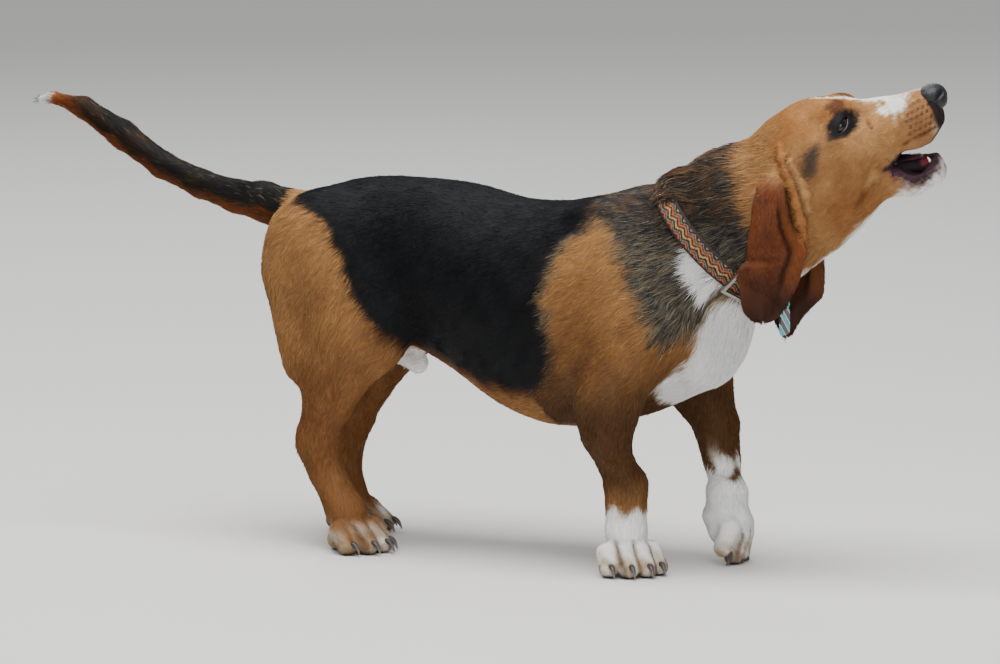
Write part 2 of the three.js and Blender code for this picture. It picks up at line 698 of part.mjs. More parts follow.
function ear(side) {
  const frame = earFrame(side);
  const drop = side < 0 ? earRightDrop : earLeftDrop;
  const outline = side < 0 ? earRightOutline : earLeftOutline;
  const rows = [];
  for (let d = 0; d <= earDown; d++) {
    const row = [];
    for (let a = 0; a <= earAcross; a++) {
      row.push(earPoint(frame, outline, drop, 2 * a / earAcross - 1, d / earDown));
    }
    rows.push(row);
  }
  const smooth = (grid) => grid.map((row, d) => row.map((cell, a) => {
    const near = [[0, 0, 2], [-1, 0, 1], [1, 0, 1], [0, -1, 1], [0, 1, 1]]
      .map(([i, j, weight]) => [grid[d + i]?.[a + j], weight]).filter(([other]) => other);
    const total = near.reduce((sum, [, weight]) => sum + weight, 0);
    return { level: cell.level, out: near.reduce((sum, [other, weight]) => sum + other.out * weight, 0) / total };
  }));
  const settled = smooth(smooth(rows));
  const points = [];
  const wide = earAcross + 1;
  for (const face of [1, -1]) {
    settled.forEach((row, d) => row.forEach(({ level, out }, a) => {
      const edge = Math.min(a, earAcross - a, (earDown - d) * 1.5);
      const thick = earThickness * (0.55 + 0.45 * clamp(edge / 2, 0, 1));
      points.push(add(level, scaled(frame.out, out + face * thick / 2)));
    }));
  }
  const faces = [];
  const outer = (d, a) => d * wide + a;
  const inner = (d, a) => (earDown + 1) * wide + d * wide + a;
  const put = (a, b, c) => (side < 0 ? faces.push(a, b, c) : faces.push(a, c, b));
  for (let d = 0; d < earDown; d++) {
    for (let a = 0; a < earAcross; a++) {
      put(outer(d, a), outer(d + 1, a), outer(d + 1, a + 1));
      put(outer(d, a), outer(d + 1, a + 1), outer(d, a + 1));
      put(inner(d, a), inner(d + 1, a + 1), inner(d + 1, a));
      put(inner(d, a), inner(d, a + 1), inner(d + 1, a + 1));
    }
  }
  const rim = [];
  for (let d = 0; d < earDown; d++) rim.push([d, 0]);
  for (let a = 0; a < earAcross; a++) rim.push([earDown, a]);
  for (let d = earDown; d > 0; d--) rim.push([d, earAcross]);
  for (let a = earAcross; a > 0; a--) rim.push([0, a]);
  rim.forEach(([d, a], n) => {
    const [e, b] = rim[(n + 1) % rim.length];
    put(outer(d, a), inner(d, a), inner(e, b));
    put(outer(d, a), inner(e, b), outer(e, b));
  });
  return solidOf(points.flat(), faces);
}

// The two folds of skin along each ear's front edge, which make the cup's front wall: forward, height, radius
const earFolds = [
  [[-1, 12, 2.6], [3, 0, 4.4], [8, -11, 5.2], [13, -23, 5.4], [17.5, -41, 5], [20.5, -58, 4.2], [22.5, -73, 3]],
  [[11, -2, 2.4], [16, -13, 3.8], [21, -23, 4.4], [25, -34, 4.4], [27, -45, 3]],
];
function earFold(side, places) {
  const frame = earFrame(side);
  const rows = places.map(([forward, rise, radius]) => {
    const level = add(frame.origin, add(scaled(frame.forward, forward), [0, 0, rise]));
    return [...add(level, scaled(frame.out, surfaceOut(level, frame.out) + 1.5)), radius];
  });
  return taper(rows, 8);
}

// Eyes and lids

const eyeAt = (side) => fromHead([65.5, 26 * side, -19.8]);
const eyeForward = (side) => unit(headTurn([0.52, 0.82 * side, 0.16]));
const eyeball = (side, radius) => {
  const sphere = new THREE.SphereGeometry(radius, 12, 8);
  sphere.translate(...eyeAt(side));
  return solidFrom(sphere);
};
function lids(side) {
  const centre = eyeAt(side);
  const forward = eyeForward(side);
  const inner = headTurn([0.78, 0, 0.62]);
  const along = unit(sub(inner, scaled(forward, dot(inner, forward))));
  const up = scaled(cross(forward, along), -side);
  const reach = eyeRadius + gap + 1.5;
  const steps = 6;
  return [4.9, -5.6].map((height) => {
    const rows = Array.from({ length: steps + 1 }, (_, n) => {
      const s = 2 * n / steps - 1;
      const p = 10.2 * s;
      const q = height * (1 - s * s) - 0.5;
      const depth = Math.sqrt(Math.max(reach * reach - p * p - q * q, 4));
      const place = add(centre, add(scaled(forward, depth), add(scaled(along, p), scaled(up, q))));
      return [...place, lidThickness * (0.75 + 0.35 * (1 - s * s))];
    });
    return taper(rows, 5);
  });
}

// Nose, tongue and teeth

const noseMass = (margin) => (p) => inHead(melt(4,
  ball([152, 0, -20], [14, 14.5, 11]),
  ball([158, 0, -25], [7, 10, 9]),
))(p) - margin;
function nostril(side) {
  const rows = [[168, 6.5, -18, 3.4], [160, 7.5, -20, 3], [160, 12, -25, 1.6], [157, 17, -29, 1.1]];
  return taper(rows.map(([x, y, z, r]) => [...fromHead([x, y * side, z]), r]), 6);
}
const tongueMass = inHead(limb([92, 0, -70, 8, 12], [122, 0, -73.5, 5.5, 9]));
function lowerTeeth() {
  const teeth = [-1, 1].map((side) => ({ from: [130, 8.6 * side, -84], to: [133, 10 * side, -71.5], radius: 2.9 }));
  for (let n = 0; n < 6; n++) {
    const y = (n - 2.5) * 2.6;
    const x = 137.5 - y * y * 0.06;
    teeth.push({ from: [x - 1, y, -82], to: [x, y * 1.05, -74], radius: 1.6 });
  }
  return teeth.map(({ from, to, radius }) => {
    const middle = scaled(add(from, to), 0.5);
    return taper([[...fromHead(from), radius], [...fromHead(middle), radius], [...fromHead(to), 0.6]], 5);
  });
}

// Collar: a woven band round the neck, its metal loop and a small tag

const collarCentre = [84, 2, 311];
const collarAxis = unit([0.7, 0.03, 0.714]);
const collarBack = unit(cross(collarAxis, [0, 1, 0]));
const collarSide = cross(collarAxis, collarBack);
const collarClear = 1.3;
const collarSteps = 36;
const loopTurn = 141;
const tagTurn = 180;

// The neck's radius at a turn about the collar's axis, measured at a place along it
function neckRadius(turn, along) {
  const away = add(scaled(collarBack, Math.cos(turn)), scaled(collarSide, Math.sin(turn)));
  const from = add(collarCentre, scaled(collarAxis, along));
  const outside = (r) => body(add(from, scaled(away, r))) >= 0;
  let r = 110;
  while (r > 20 && outside(r)) r -= 2;
  for (let step = 1; step > 0.01; step /= 2) {
    if (!outside(r + step)) r += step;
  }
  return { away, from, r };
}
function collarPoint(turn, along, lift) {
  const { away, from, r } = neckRadius(turn, along);
  return add(from, scaled(away, r + collarClear + lift));
}

// The band, or the room for it in the neck when "margin" is over zero
function collarBand(margin) {
  const half = collarWidth / 2 + margin;
  const outer = collarThickness + margin;
  const points = [];
  const faces = [];
  for (let n = 0; n < collarSteps; n++) {
    const turn = 2 * Math.PI * n / collarSteps;
    for (const [along, lift] of [[-half, -margin], [-half, outer], [half, outer], [half, -margin]]) {
      points.push(collarPoint(turn, along, lift));
    }
    for (let s = 0; s < 4; s++) {
      const a = n * 4 + s;
      const b = n * 4 + (s + 1) % 4;
      const next = ((n + 1) % collarSteps) * 4;
      const c = next + (s + 1) % 4;
      const d = next + s;
      faces.push(a, c, b, a, d, c);
    }
  }
  return solidOf(points.flat(), faces);
}
function collarLoop() {
  const shape = new THREE.Shape();
  const half = loopSize / 2;
  shape.moveTo(-half, -half).lineTo(half, -half).lineTo(half, half).lineTo(-half, half).closePath();
  const hole = new THREE.Path();
  const inner = half - loopWire;
  hole.moveTo(-inner, -inner).lineTo(-inner, inner).lineTo(inner, inner).lineTo(inner, -inner).closePath();
  shape.holes.push(hole);
  const frame = new THREE.ExtrudeGeometry(shape, { depth: loopWire, bevelEnabled: false });
  const turn = radians(loopTurn);
  const place = collarPoint(turn, 0, collarThickness + 2.4);
  const out = unit(sub(place, neckRadius(turn, 0).from));
  const aside = unit(cross(collarAxis, out));
  const matrix = new THREE.Matrix4().makeBasis(
    new THREE.Vector3(...aside), new THREE.Vector3(...cross(out, aside)), new THREE.Vector3(...out),
  );
  frame.applyMatrix4(matrix);
  frame.translate(...place);
  return solidFrom(frame);
}
function collarTag() {
  const hang = collarPoint(radians(tagTurn), 0, collarThickness + 1.4);
  const shape = new THREE.Shape();
  const half = tagWidth / 2;
  const drop = tagHeight;
  shape.moveTo(-3, 0).quadraticCurveTo(-half, -2, -half, -8).lineTo(-half, -drop + 6);
  shape.quadraticCurveTo(-half, -drop, -half + 6, -drop).lineTo(half - 6, -drop);
  shape.quadraticCurveTo(half, -drop, half, -drop + 6).lineTo(half, -8).quadraticCurveTo(half, -2, 3, 0).closePath();
  const plate = new THREE.ExtrudeGeometry(shape, { depth: tagThickness, bevelEnabled: false, curveSegments: 3 });
  plate.translate(0, 0, -tagThickness / 2);
  plate.rotateX(Math.PI / 2);
  plate.rotateZ(radians(95));
  const ring = new THREE.TorusGeometry(4.4, 1, 6, 12);
  ring.rotateX(Math.PI / 2);
  ring.rotateZ(radians(5));
  const low = add(hang, [9, -1, -5]);
  ring.translate(...add(low, [0, 0, 3.4]));
  plate.translate(...low);
  return solidFrom(plate).add(solidFrom(ring));
}

// Nodes

const nodes = [];
const paint = {
  tan: { color: 0x9a5526, roughness: 0.75 },
  black: { color: 0x1b1a1c, roughness: 0.7 },
  white: { color: 0xe6e2dc, roughness: 0.8 },
  ear: { color: 0x6d3218, roughness: 0.6 },
  nose: { color: 0x17171a, roughness: 0.35 },
  eye: { color: 0x1d120c, roughness: 0.08 },
  tongue: { color: 0xb05a5c, roughness: 0.45 },
  collar: { color: 0x5c4630, roughness: 0.85 },
  metal: { color: 0xb9bcc0, roughness: 0.3, metalness: 1 },
};
function node(name, solid, look) {
  const { vertProperties, triVerts } = largest(solid).getMesh();
  const geometry = new THREE.BufferGeometry();
  geometry.setAttribute('position', new THREE.BufferAttribute(vertProperties, 3));
  geometry.setIndex(new THREE.BufferAttribute(triVerts, 1));
  geometry.computeVertexNormals();
  const mesh = new THREE.Mesh(geometry, new THREE.MeshStandardMaterial(paint[look]));
  mesh.name = name;
  nodes.push(mesh);
}

// Takes one solid out of another, and again a gap further along "shift"
const clearOf = (solid, other, shift) => solid.subtract(other).subtract(other.translate(scaled(unit(shift), gap * 1.2)));

// Legs, and what they take from the trunk
let trunkSolid = polygonise(body, [-412, -124, 96], [134, 124, 384], [14, 12, 12], 1.6);
const legs = [
  { kind: 'fore', side: -1, name: 'right', leg: foreRight },
  { kind: 'fore', side: 1, name: 'left', leg: foreLeft },
  { kind: 'hind', side: -1, name: 'right', leg: hindRight },
  { kind: 'hind', side: 1, name: 'left', leg: hindLeft },
];
for (const { kind, side, name, leg } of legs) {
  const { root, knee, ankle, bounds } = legCuts(side, leg, kind);
  const near = side < 0 ? [-124, -12] : [12, 124];
  const fore = kind === 'fore';
  const region = block([bounds[0], near[0] - 40, -50], [bounds[1], near[1] + 40, 420]);
  trunkSolid = trunkSolid.subtract(region.subtract(beyond(add(root.point, scaled(root.direction, -gap / 2)),
    scaled(root.direction, -1))));
  const lowest = ankle.point[2] - 30;
  const upper = polygonise(
    body, [bounds[0], near[0], lowest], [bounds[1] + 14, near[1], fore ? 200 : 330], [9, 9, 9], 1.1);
  const front = cut([bounds[1], 0, 0], [1, 0, 0]);
  const limbSolid = largest(before(before(after(upper, root), ankle), front));
  if (fore) {
    node(`forearm_${name}`, limbSolid, 'tan');
  } else {
    node(`thigh_${name}`, before(limbSolid, knee), 'tan');
    node(`shank_${name}`, after(limbSolid, knee), 'tan');
  }
  const { at } = leg.paw;
  const paw = polygonise(
    pawMass(leg), [at[0] - 62, at[1] - 46, -5], [at[0] + 56, at[1] + 46, ankle.point[2] + 14], [5.6, 5.6, 5.6], 0.9);
  const grounded = after(paw, ankle).subtract(beyond([0, 0, 0], [0, 0, -1]));
  const clawed = claws(leg).reduce((solid, claw) => solid.add(claw), grounded);
  node(`${kind}paw_${name}`, clawed, 'white');
}
const tailward = { ...cuts.tailRoot, direction: scaled(cuts.tailRoot.direction, -1) };
const torsoSolid = largest(after(before(trunkSolid, cuts.neckBase), tailward));
node('torso', torsoSolid, 'black');

// Neck
const withEarFolds = (solid) => [-1, 1].reduce(
  (whole, side) => earFolds.reduce((sum, places) => sum.add(earFold(side, places)), whole), solid);
const neckWhole = withEarFolds(polygonise(body, [-60, -100, 200], [240, 112, 440], [10, 10, 10], 1.2));
const neckSolid = largest(before(after(neckWhole, cuts.neckBase), cuts.nape).subtract(collarBand(gap)));
node('neck', neckSolid, 'black');

// Tail
const tailSolid = taper(tail.map(([x, z, radius]) => [x, 0, z, radius]), tailSides);
node('tail_root', before(after(tailSolid, cuts.tailRoot), cuts.tailMiddle), 'black');
node('tail_middle', before(after(tailSolid, cuts.tailMiddle), cuts.tailEnd), 'black');
node('tail_tip', after(tailSolid, cuts.tailEnd), 'white');

// Head and jaw
const sides = [['right', -1], ['left', 1]];
const noseSolid = polygonise(noseMass(0), [232, 16, 408], [300, 84, 472], [4, 4, 4], 0.4);
const noseRoom = polygonise(noseMass(gap + 0.3), [232, 16, 408], [300, 84, 472], [4, 4, 4], 0.3);
let skull = withEarFolds(polygonise(headBody, [70, -80, 270], [330, 140, 500], [4.8, 4.8, 4.8], 0.6));
for (const [, side] of sides) {
  for (const lid of lids(side)) skull = skull.add(lid);
  skull = skull.subtract(eyeball(side, eyeRadius + gap));
}
skull = after(skull.subtract(noseRoom), cuts.nape);
const headSolid = largest(before(skull, cuts.jaw));
let jawSolid = largest(after(skull, cuts.jaw));
for (const tooth of lowerTeeth()) jawSolid = jawSolid.add(tooth);
node('head', headSolid, 'tan');
node('lower_jaw', jawSolid, 'tan');
node('nose', sides.reduce((solid, [, side]) => solid.subtract(nostril(side)), noseSolid), 'nose');
const tongue = polygonise(tongueMass, [180, 18, 310], [280, 80, 400], [5, 5, 2.8], 0.4);
node('tongue', clearOf(clearOf(tongue, jawSolid, head.z), headSolid, scaled(head.z, -1)), 'tongue');
for (const [name, side] of sides) {
  node(`eye_${name}`, eyeball(side, eyeRadius), 'eye');
}

// Collar, then the ears clear of it
const band = collarBand(0);
const ring = collarLoop();
node('collar', band, 'collar');
node('collar_loop', ring, 'metal');
node('collar_tag', collarTag(), 'metal');
for (const [name, side] of sides) {
  const { out } = earFrame(side);
  let leather = ear(side);
  for (const other of [headSolid, jawSolid, neckSolid, torsoSolid, band, ring]) leather = clearOf(leather, other, out);
  node(`ear_${name}`, leather, 'ear');
}

const dog = new THREE.Group();
dog.add(...nodes);
const bounds = new THREE.Box3().setFromObject(dog);
const centre = bounds.getCenter(new THREE.Vector3());
dog.position.set(-centre.x, -centre.y, -bounds.min.z);

export default dog;
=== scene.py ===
# A basset hound standing with its head raised and its mouth open: skin, coat, eyes, mouth, collar and tag.
# Shapes are worked out in the dog's own frame, in millimetres, and moved to the shared frame at the end.

import math
import bpy
import numpy as np
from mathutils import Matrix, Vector


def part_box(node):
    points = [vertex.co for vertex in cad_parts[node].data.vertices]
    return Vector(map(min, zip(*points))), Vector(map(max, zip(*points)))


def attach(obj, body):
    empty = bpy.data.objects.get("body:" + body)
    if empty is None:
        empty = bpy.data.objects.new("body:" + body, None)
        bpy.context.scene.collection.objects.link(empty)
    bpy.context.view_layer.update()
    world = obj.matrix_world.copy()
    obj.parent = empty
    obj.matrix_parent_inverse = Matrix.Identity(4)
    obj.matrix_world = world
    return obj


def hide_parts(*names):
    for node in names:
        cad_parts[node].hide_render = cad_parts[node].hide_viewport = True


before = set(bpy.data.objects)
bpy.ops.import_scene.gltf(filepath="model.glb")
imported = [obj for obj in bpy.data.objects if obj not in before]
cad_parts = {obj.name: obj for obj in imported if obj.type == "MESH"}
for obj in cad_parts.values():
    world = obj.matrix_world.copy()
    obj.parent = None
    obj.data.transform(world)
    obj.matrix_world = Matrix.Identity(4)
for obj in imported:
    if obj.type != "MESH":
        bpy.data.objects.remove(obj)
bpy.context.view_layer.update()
rng = np.random.default_rng(71)

# Camera, at the photograph's angle and far enough away for its flat perspective, in millimetres

pictureWidth = 1000
mmPerPixel = 0.933
viewFrom = (0.495, -0.858, 0.139)
viewDistance = 20000.0
aimPoint = (-156.0, 0.0, 208.0)

# Driving dimensions

eyeRadius = 10.2
lidThickness = 2.0
lidReach = 28.0
collarWidth = 19.0
collarThickness = 2.6
headOrigin = (125.6, 12.0, 424.0)
headYaw = 20.0
headPitch = 17.4
headRoll = 4.0

# The trunk at stations along the back: x, height of the back, height of the underside, half width
trunk = np.array([
    [-356, 326, 246, 56],
    [-330, 337, 228, 70],
    [-290, 346, 204, 73],
    [-240, 348, 190, 73],
    [-190, 346, 169, 83],
    [-135, 336, 139, 95],
    [-85, 337, 126, 100],
    [-40, 346, 131, 97],
    [10, 353, 143, 87],
    [66, 305, 169, 66],
], float)
rumpDepth = 22.0
breastDepth = 35.0

# Neck axis from the shoulders to the nape: x, y, z, radius in depth, half width
neck = [
    [16, 0, 270, 76, 72],
    [70, 2, 304, 73, 58],
    [98, 7, 329, 72, 54],
    [140, 22, 355, 63, 48],
    [168, 32, 371, 57, 44],
]

# Tail axis from root to tip: x, z, radius
tail = [
    [-330, 290, 24],
    [-346, 292, 22],
    [-382, 306, 21],
    [-412, 314, 18],
    [-440, 316.5, 15],
    [-480, 326, 13],
    [-522, 341, 12],
    [-566, 367, 13],
    [-609, 390, 9.5],
    [-641, 397, 5],
    [-656, 395, 2.5],
]

# Legs from the body down: x, y, z, radius in depth, half width
foreRight = {
    "shoulder": [[28, -58, 240, 36, 28], [-20, -42, 318, 27, 17]],
    "upperArm": [[30, -62, 226, 33, 30], [6, -80, 162, 31, 27]],
    "forearm": [[4, -80, 160, 28, 26], [2, -76, 134, 25, 24], [4, -66, 110, 19, 18.5]],
    "foot": [[12, -57, 83, 20.5, 20], [11, -55, 62, 17.8, 17.5], [11, -55, 40, 17.5, 19]],
    "paw": {"at": (12, -56), "turn": -40, "heel": 0, "lean": 0},
}
foreLeft = {
    "shoulder": [[28, 58, 240, 36, 28], [-20, 42, 318, 27, 17]],
    "upperArm": [[28, 62, 226, 33, 30], [14, 78, 162, 30, 27]],
    "forearm": [[15, 79, 158, 28, 26], [34, 74, 126, 23, 22], [47, 62, 94, 18.5, 18]],
    "foot": [[57, 54, 64, 19.5, 19], [60, 51, 44, 17, 18], [60, 50, 32, 15, 19]],
    "paw": {"at": (46, 50), "turn": 12, "heel": 30.5, "lean": 62},
}
hindRight = {
    "haunch": [[-322, -44, 276, 58, 40], [-262, -66, 214, 46, 27]],
    "hamstring": [[-350, -44, 254, 33, 28], [-325, -62, 180, 29, 22]],
    "gaskin": [[-278, -70, 196, 40, 24], [-303, -66, 142, 26, 19], [-316, -62, 112, 19, 16]],
    "foot": [[-319, -60, 97, 20, 15], [-308, -59, 70, 15.5, 14.5], [-290, -58, 38, 16, 18]],
    "paw": {"at": (-283, -58), "turn": -14, "heel": 0, "lean": 0},
}
hindLeft = {
    "haunch": [[-326, 44, 276, 58, 40], [-286, 64, 216, 44, 27]],
    "hamstring": [[-348, 44, 258, 32, 28], [-340, 60, 178, 24, 21]],
    "gaskin": [[-312, 66, 186, 37, 24], [-334, 62, 146, 27, 19], [-345, 60, 114, 19, 16]],
    "foot": [[-355, 58, 96, 20, 15], [-358, 56, 64, 15.5, 14.5], [-354, 55, 36, 16, 18]],
    "paw": {"at": (-348, 54), "turn": 8, "heel": 0, "lean": 0},
}
legs = [foreRight, foreLeft, hindRight, hindLeft]
foreEnd = -75.0
hindStart = -240.0
tailStart = -378.0

# A paw, in its own frame, x forward: each toe's side place, knuckle, tip and radius
toes = [(-22, 6, 19, 10), (-8, 14, 30, 10.5), (8, 14, 30, 10.5), (22, 6, 19, 10)]
toeSpread = 1.12
padPress = 2.2
clawLength = 15.0
clawRadius = 2.9

# Fields: each is a function of points that is negative inside

TINY = 1e-8
outOfReach = 80.0


def unit(v):
    v = np.asarray(v, float)
    return v / np.linalg.norm(v, axis=-1, keepdims=v.ndim > 1)


def smoothstep(low, high, x):
    t = np.clip((x - low) / (high - low), 0, 1)
    return t * t * (3 - 2 * t)


def readTable(rows, x, column):
    """A smooth value between the rows of a table whose first column rises."""
    at = rows[:, 0]
    values = rows[:, column]
    last = len(rows) - 1
    t = np.clip(x, at[0], at[last])
    i = np.clip(np.searchsorted(at, t, side="right") - 1, 0, last - 1)
    before = np.maximum(i - 1, 0)
    after = np.minimum(i + 2, last)
    step = at[i + 1] - at[i]
    s = (t - at[i]) / step
    startSlope = (values[i + 1] - values[before]) / (at[i + 1] - at[before]) * step
    endSlope = (values[after] - values[i]) / (at[after] - at[i]) * step
    s2 = s * s
    s3 = s2 * s
    return (values[i] * (2 * s3 - 3 * s2 + 1) + startSlope * (s3 - 2 * s2 + s)
            + values[i + 1] * (3 * s2 - 2 * s3) + endSlope * (s3 - s2))


def egg(q, radii):
    """About how far offsets from a centre lie outside an egg shape with these radii."""
    scaled = np.sqrt(((q / radii) ** 2).sum(1) + TINY)
    steep = np.sqrt(((q / radii ** 2) ** 2).sum(1) + TINY / radii.min(-1) ** 2)
    return scaled * (scaled - 1) / steep


def ball(centre, radii):
    c = np.array(centre, float)
    r = np.array(radii, float)
    return lambda p: egg(p - c, r)


def limb(start, end):
    """A round-ended limb between two rows of x, y, z, radius in depth, half width."""
    a = np.array(start[:3], float)
    axis = np.array(end[:3], float) - a
    length2 = axis @ axis

    def mass(p):
        q = p - a
        t = np.clip(q @ axis / length2, 0, 1)
        q = q - t[:, None] * axis
        depth = start[3] + (end[3] - start[3]) * t
        width = start[4] + (end[4] - start[4]) * t
        across2 = q[:, 1] ** 2
        along2 = np.maximum((q * q).sum(1) - across2, 0)
        scaled = np.sqrt(along2 / depth ** 2 + across2 / width ** 2 + TINY)
        steep = np.sqrt(along2 / depth ** 4 + across2 / width ** 4 + TINY / np.minimum(depth, width) ** 2)
        return scaled * (scaled - 1) / steep
    return mass


def softMin(a, b, softness):
    h = np.maximum(softness - np.abs(a - b), 0) / softness
    return np.minimum(a, b) - h * h * softness / 4


def softMax(a, b, softness):
    h = np.maximum(softness - np.abs(a - b), 0) / softness
    return np.maximum(a, b) + h * h * softness / 4


def melt(softness, *masses):
    def mass(p):
        out = masses[0](p)
        for other in masses[1:]:
            out = softMin(out, other(p), softness)
        return out
    return mass


def chain(rows, softness=4):
    return melt(softness, *[limb(a, b) for a, b in zip(rows, rows[1:])])


def near(mass, low, high, reach=45.0):
    """The mass, worked out only close to a box: further off it counts as out of reach."""
    low = np.array(low, float) - reach
    high = np.array(high, float) + reach

    def inside(p):
        out = np.full(len(p), outOfReach)
        close = ((p > low) & (p < high)).all(1)
        if close.any():
            out[close] = mass(p[close])
        return out
    return inside


def squaredGap(p, points):
    """The squared distance of places to a line through points."""
    rows = np.array(points, float)
    far = np.full(len(p), 1e9)
    for a, b in zip(rows, rows[1:]):
        axis = b - a
        t = np.clip((p - a) @ axis / (axis @ axis), 0, 1)
        far = np.minimum(far, ((p - a - t[:, None] * axis) ** 2).sum(1))
    return far


def lineDistance(p, points):
    return np.sqrt(squaredGap(p, points))


# The head's frame

def headAxes():
    yaw, pitch, roll = (math.radians(v) for v in (headYaw, headPitch, headRoll))
    x = np.array([math.cos(yaw) * math.cos(pitch), math.sin(yaw) * math.cos(pitch), math.sin(pitch)])
    level = np.array([-math.sin(yaw), math.cos(yaw), 0])
    up = np.cross(x, level)
    y = level * math.cos(roll) + up * math.sin(roll)
    return np.array([x, y, np.cross(x, y)])


headAxis = headAxes()


def toHead(p):
    return (p - np.array(headOrigin)) @ headAxis.T


def fromHead(p):
    return np.array(headOrigin) + np.asarray(p, float) @ headAxis


def inHead(mass):
    return lambda p: mass(toHead(p))


def sides(make):
    return [make(-1), make(1)]


# Trunk, neck and legs

def trunkMass(p):
    x = np.clip(p[:, 0], trunk[0, 0], trunk[-1, 0])
    top, bottom, halfWidth = (readTable(trunk, x, column) for column in (1, 2, 3))
    cap = np.where(p[:, 0] < trunk[0, 0], rumpDepth, breastDepth)
    radii = np.stack([cap, halfWidth, (top - bottom) / 2], 1)
    return egg(p - np.stack([x, 0 * x, (top + bottom) / 2], 1), radii)


dewlap = limb([124, 8, 292, 24, 15], [172, 24, 326, 24, 16])
sheath = limb([-268, 0, 186, 14, 12], [-244, 0, 172, 10, 9])


def legMass(leg):
    parts = [part for name, part in leg.items() if name != "paw"]
    rows = [row for part in parts for row in part]
    low = np.min([np.array(r[:3]) - max(r[3:]) for r in rows], 0)
    high = np.max([np.array(r[:3]) + max(r[3:]) for r in rows], 0)
    return near(melt(16, *[chain(part) for part in parts]), low, high)


def pawFrame(paw):
    """From a paw's own frame, x forward along the floor, to the dog's."""
    yaw, tilt = math.radians(paw["turn"]), math.radians(paw["lean"])

    def put(x, y, z):
        forward = x * math.cos(tilt) + z * math.sin(tilt)
        height = z * math.cos(tilt) - x * math.sin(tilt) + paw["heel"]
        return [paw["at"][0] + forward * math.cos(yaw) - y * math.sin(yaw),
                paw["at"][1] + forward * math.sin(yaw) + y * math.cos(yaw), height]
    return put


def pawMass(leg):
    put = pawFrame(leg["paw"])
    last = leg["foot"][-1]
    toeMasses = []
    for side, knuckle, tip, radius in toes:
        r = radius - 0.4
        toeMasses.append(chain([[*put(knuckle - 6, side * 0.8, 20), r - 1, r - 1],
                                [*put(knuckle, side, 21), r, r],
                                [*put(tip, side * toeSpread, radius - padPress), r - 0.6, r - 0.6]], 3))
    instep = limb(last, [*put(4, 0, 22), 14, 19])
    heelPad = ball(put(-10, 0, 10), [15, 17, 11.5])
    base = melt(9, instep, heelPad, chain(leg["foot"]))
    centre = np.array(put(6, 0, 12))

    def mass(p):
        out = base(p)
        for toe in toeMasses:
            out = softMin(out, toe(p), 4.0)
        return np.maximum(out, -p[:, 2])
    return near(mass, centre - 52, centre + [52, 52, 70], 25)


tailRows = [[x, 0, z, max(r - 1.4, 2.0), max(r - 1.4, 2.0)] for x, z, r in tail]
tailMass = near(chain(tailRows, 6), [-664, -24, 266], [-320, 24, 410])
tailX = np.array([row[0] for row in tail][::-1], float)
tailZ = np.array([row[1] for row in tail][::-1], float)

# Head, with the mouth open

headMasses = melt(
    10,
    ball([36, 0, -34], [52, 41, 44]),
    ball([3, 0, -13], [13, 13, 13]),
    *sides(lambda s: ball([63, 19 * s, -9], [17, 13, 13])),
    limb([70, 0, -17, 17, 15], [102, 0, -26, 16, 15]),
    limb([102, 0, -26, 16, 15], [146, 0, -23, 13, 14]),
    *sides(lambda s: limb([20, 38 * s, -38, 9, 8], [62, 34 * s, -41, 10, 8])),
    *sides(lambda s: ball([42, 25 * s, -52], [36, 20, 38])),
    *sides(lambda s: limb([76, 21 * s, -44, 23, 15], [104, 16 * s, -43, 21, 14])),
    *sides(lambda s: limb([104, 16 * s, -43, 21, 14], [138, 12 * s, -37, 17, 12])),
    ball([140, 0, -41], [16, 17.5, 19]),
    *sides(lambda s: limb([108, 16 * s, -50, 12, 10], [136, 11 * s, -49, 12.5, 9])),
)
jawMasses = melt(
    8,
    *sides(lambda s: limb([22, 25 * s, -76, 20, 15], [72, 19 * s, -80, 16, 12])),
    *sides(lambda s: limb([72, 19 * s, -80, 16, 12], [112, 11 * s, -88, 15, 12])),
    *sides(lambda s: limb([112, 11 * s, -87, 15, 12], [129, 5 * s, -86.5, 15, 12])),
    limb([86, 0, -80, 15, 18], [30, 0, -84, 38, 34]),
)

# The open lips along the head: x, height of the upper lip's edge, height of the lower lip's
lips = np.array([
    [90, -74, -67],
    [99, -72, -69.5],
    [105, -68.5, -72],
    [110, -62.5, -78],
    [116, -60.5, -82.5],
    [122, -61.5, -84],
    [128, -63.4, -82.5],
    [132, -63.6, -79.5],
    [137, -62.2, -74.5],
    [142, -60, -72],
    [149, -54, -73],
    [156, -48, -78],
    [166, -44, -84],
], float)


def mouthWedge(p):
    upper = readTable(lips, p[:, 0], 1)
    lower = readTable(lips, p[:, 0], 2)
    return np.maximum(np.maximum(p[:, 2] - upper, lower - p[:, 2]) * 0.9, 96 - p[:, 0])


mouthHollow = melt(3, mouthWedge, ball([124, 0, -62], [24, 12, 9]), ball([124, 0, -79], [17, 9, 6]))
gumRidge = melt(3, *sides(lambda s: limb([106, 10 * s, -76, 7, 6], [126, 9 * s, -78, 6.2, 5.2])),
                *sides(lambda s: limb([126, 9 * s, -78, 6.2, 5.2], [137, 4.5 * s, -77.5, 5.4, 5])))


def socket(s):
    return ball([79, 35 * s, -19], [11, 8, 8])


# Eyes and lids, each in a frame of its own: forward, along the lids to the inner corner, up

eyePlace = {s: np.array([65.5, 26.0 * s, -19.8]) for s in (-1, 1)}
eyeLook = {s: unit([0.52, 0.82 * s, 0.16]) for s in (-1, 1)}


def eyeAxes(s):
    forward = eyeLook[s]
    inner = np.array([0.78, 0, 0.62])
    along = unit(inner - forward * (inner @ forward))
    up = -s * np.cross(forward, along)
    return np.array([forward, along, up])


lidHalf = 9.6
upperLid = 2.3
lowerLid = 3.4


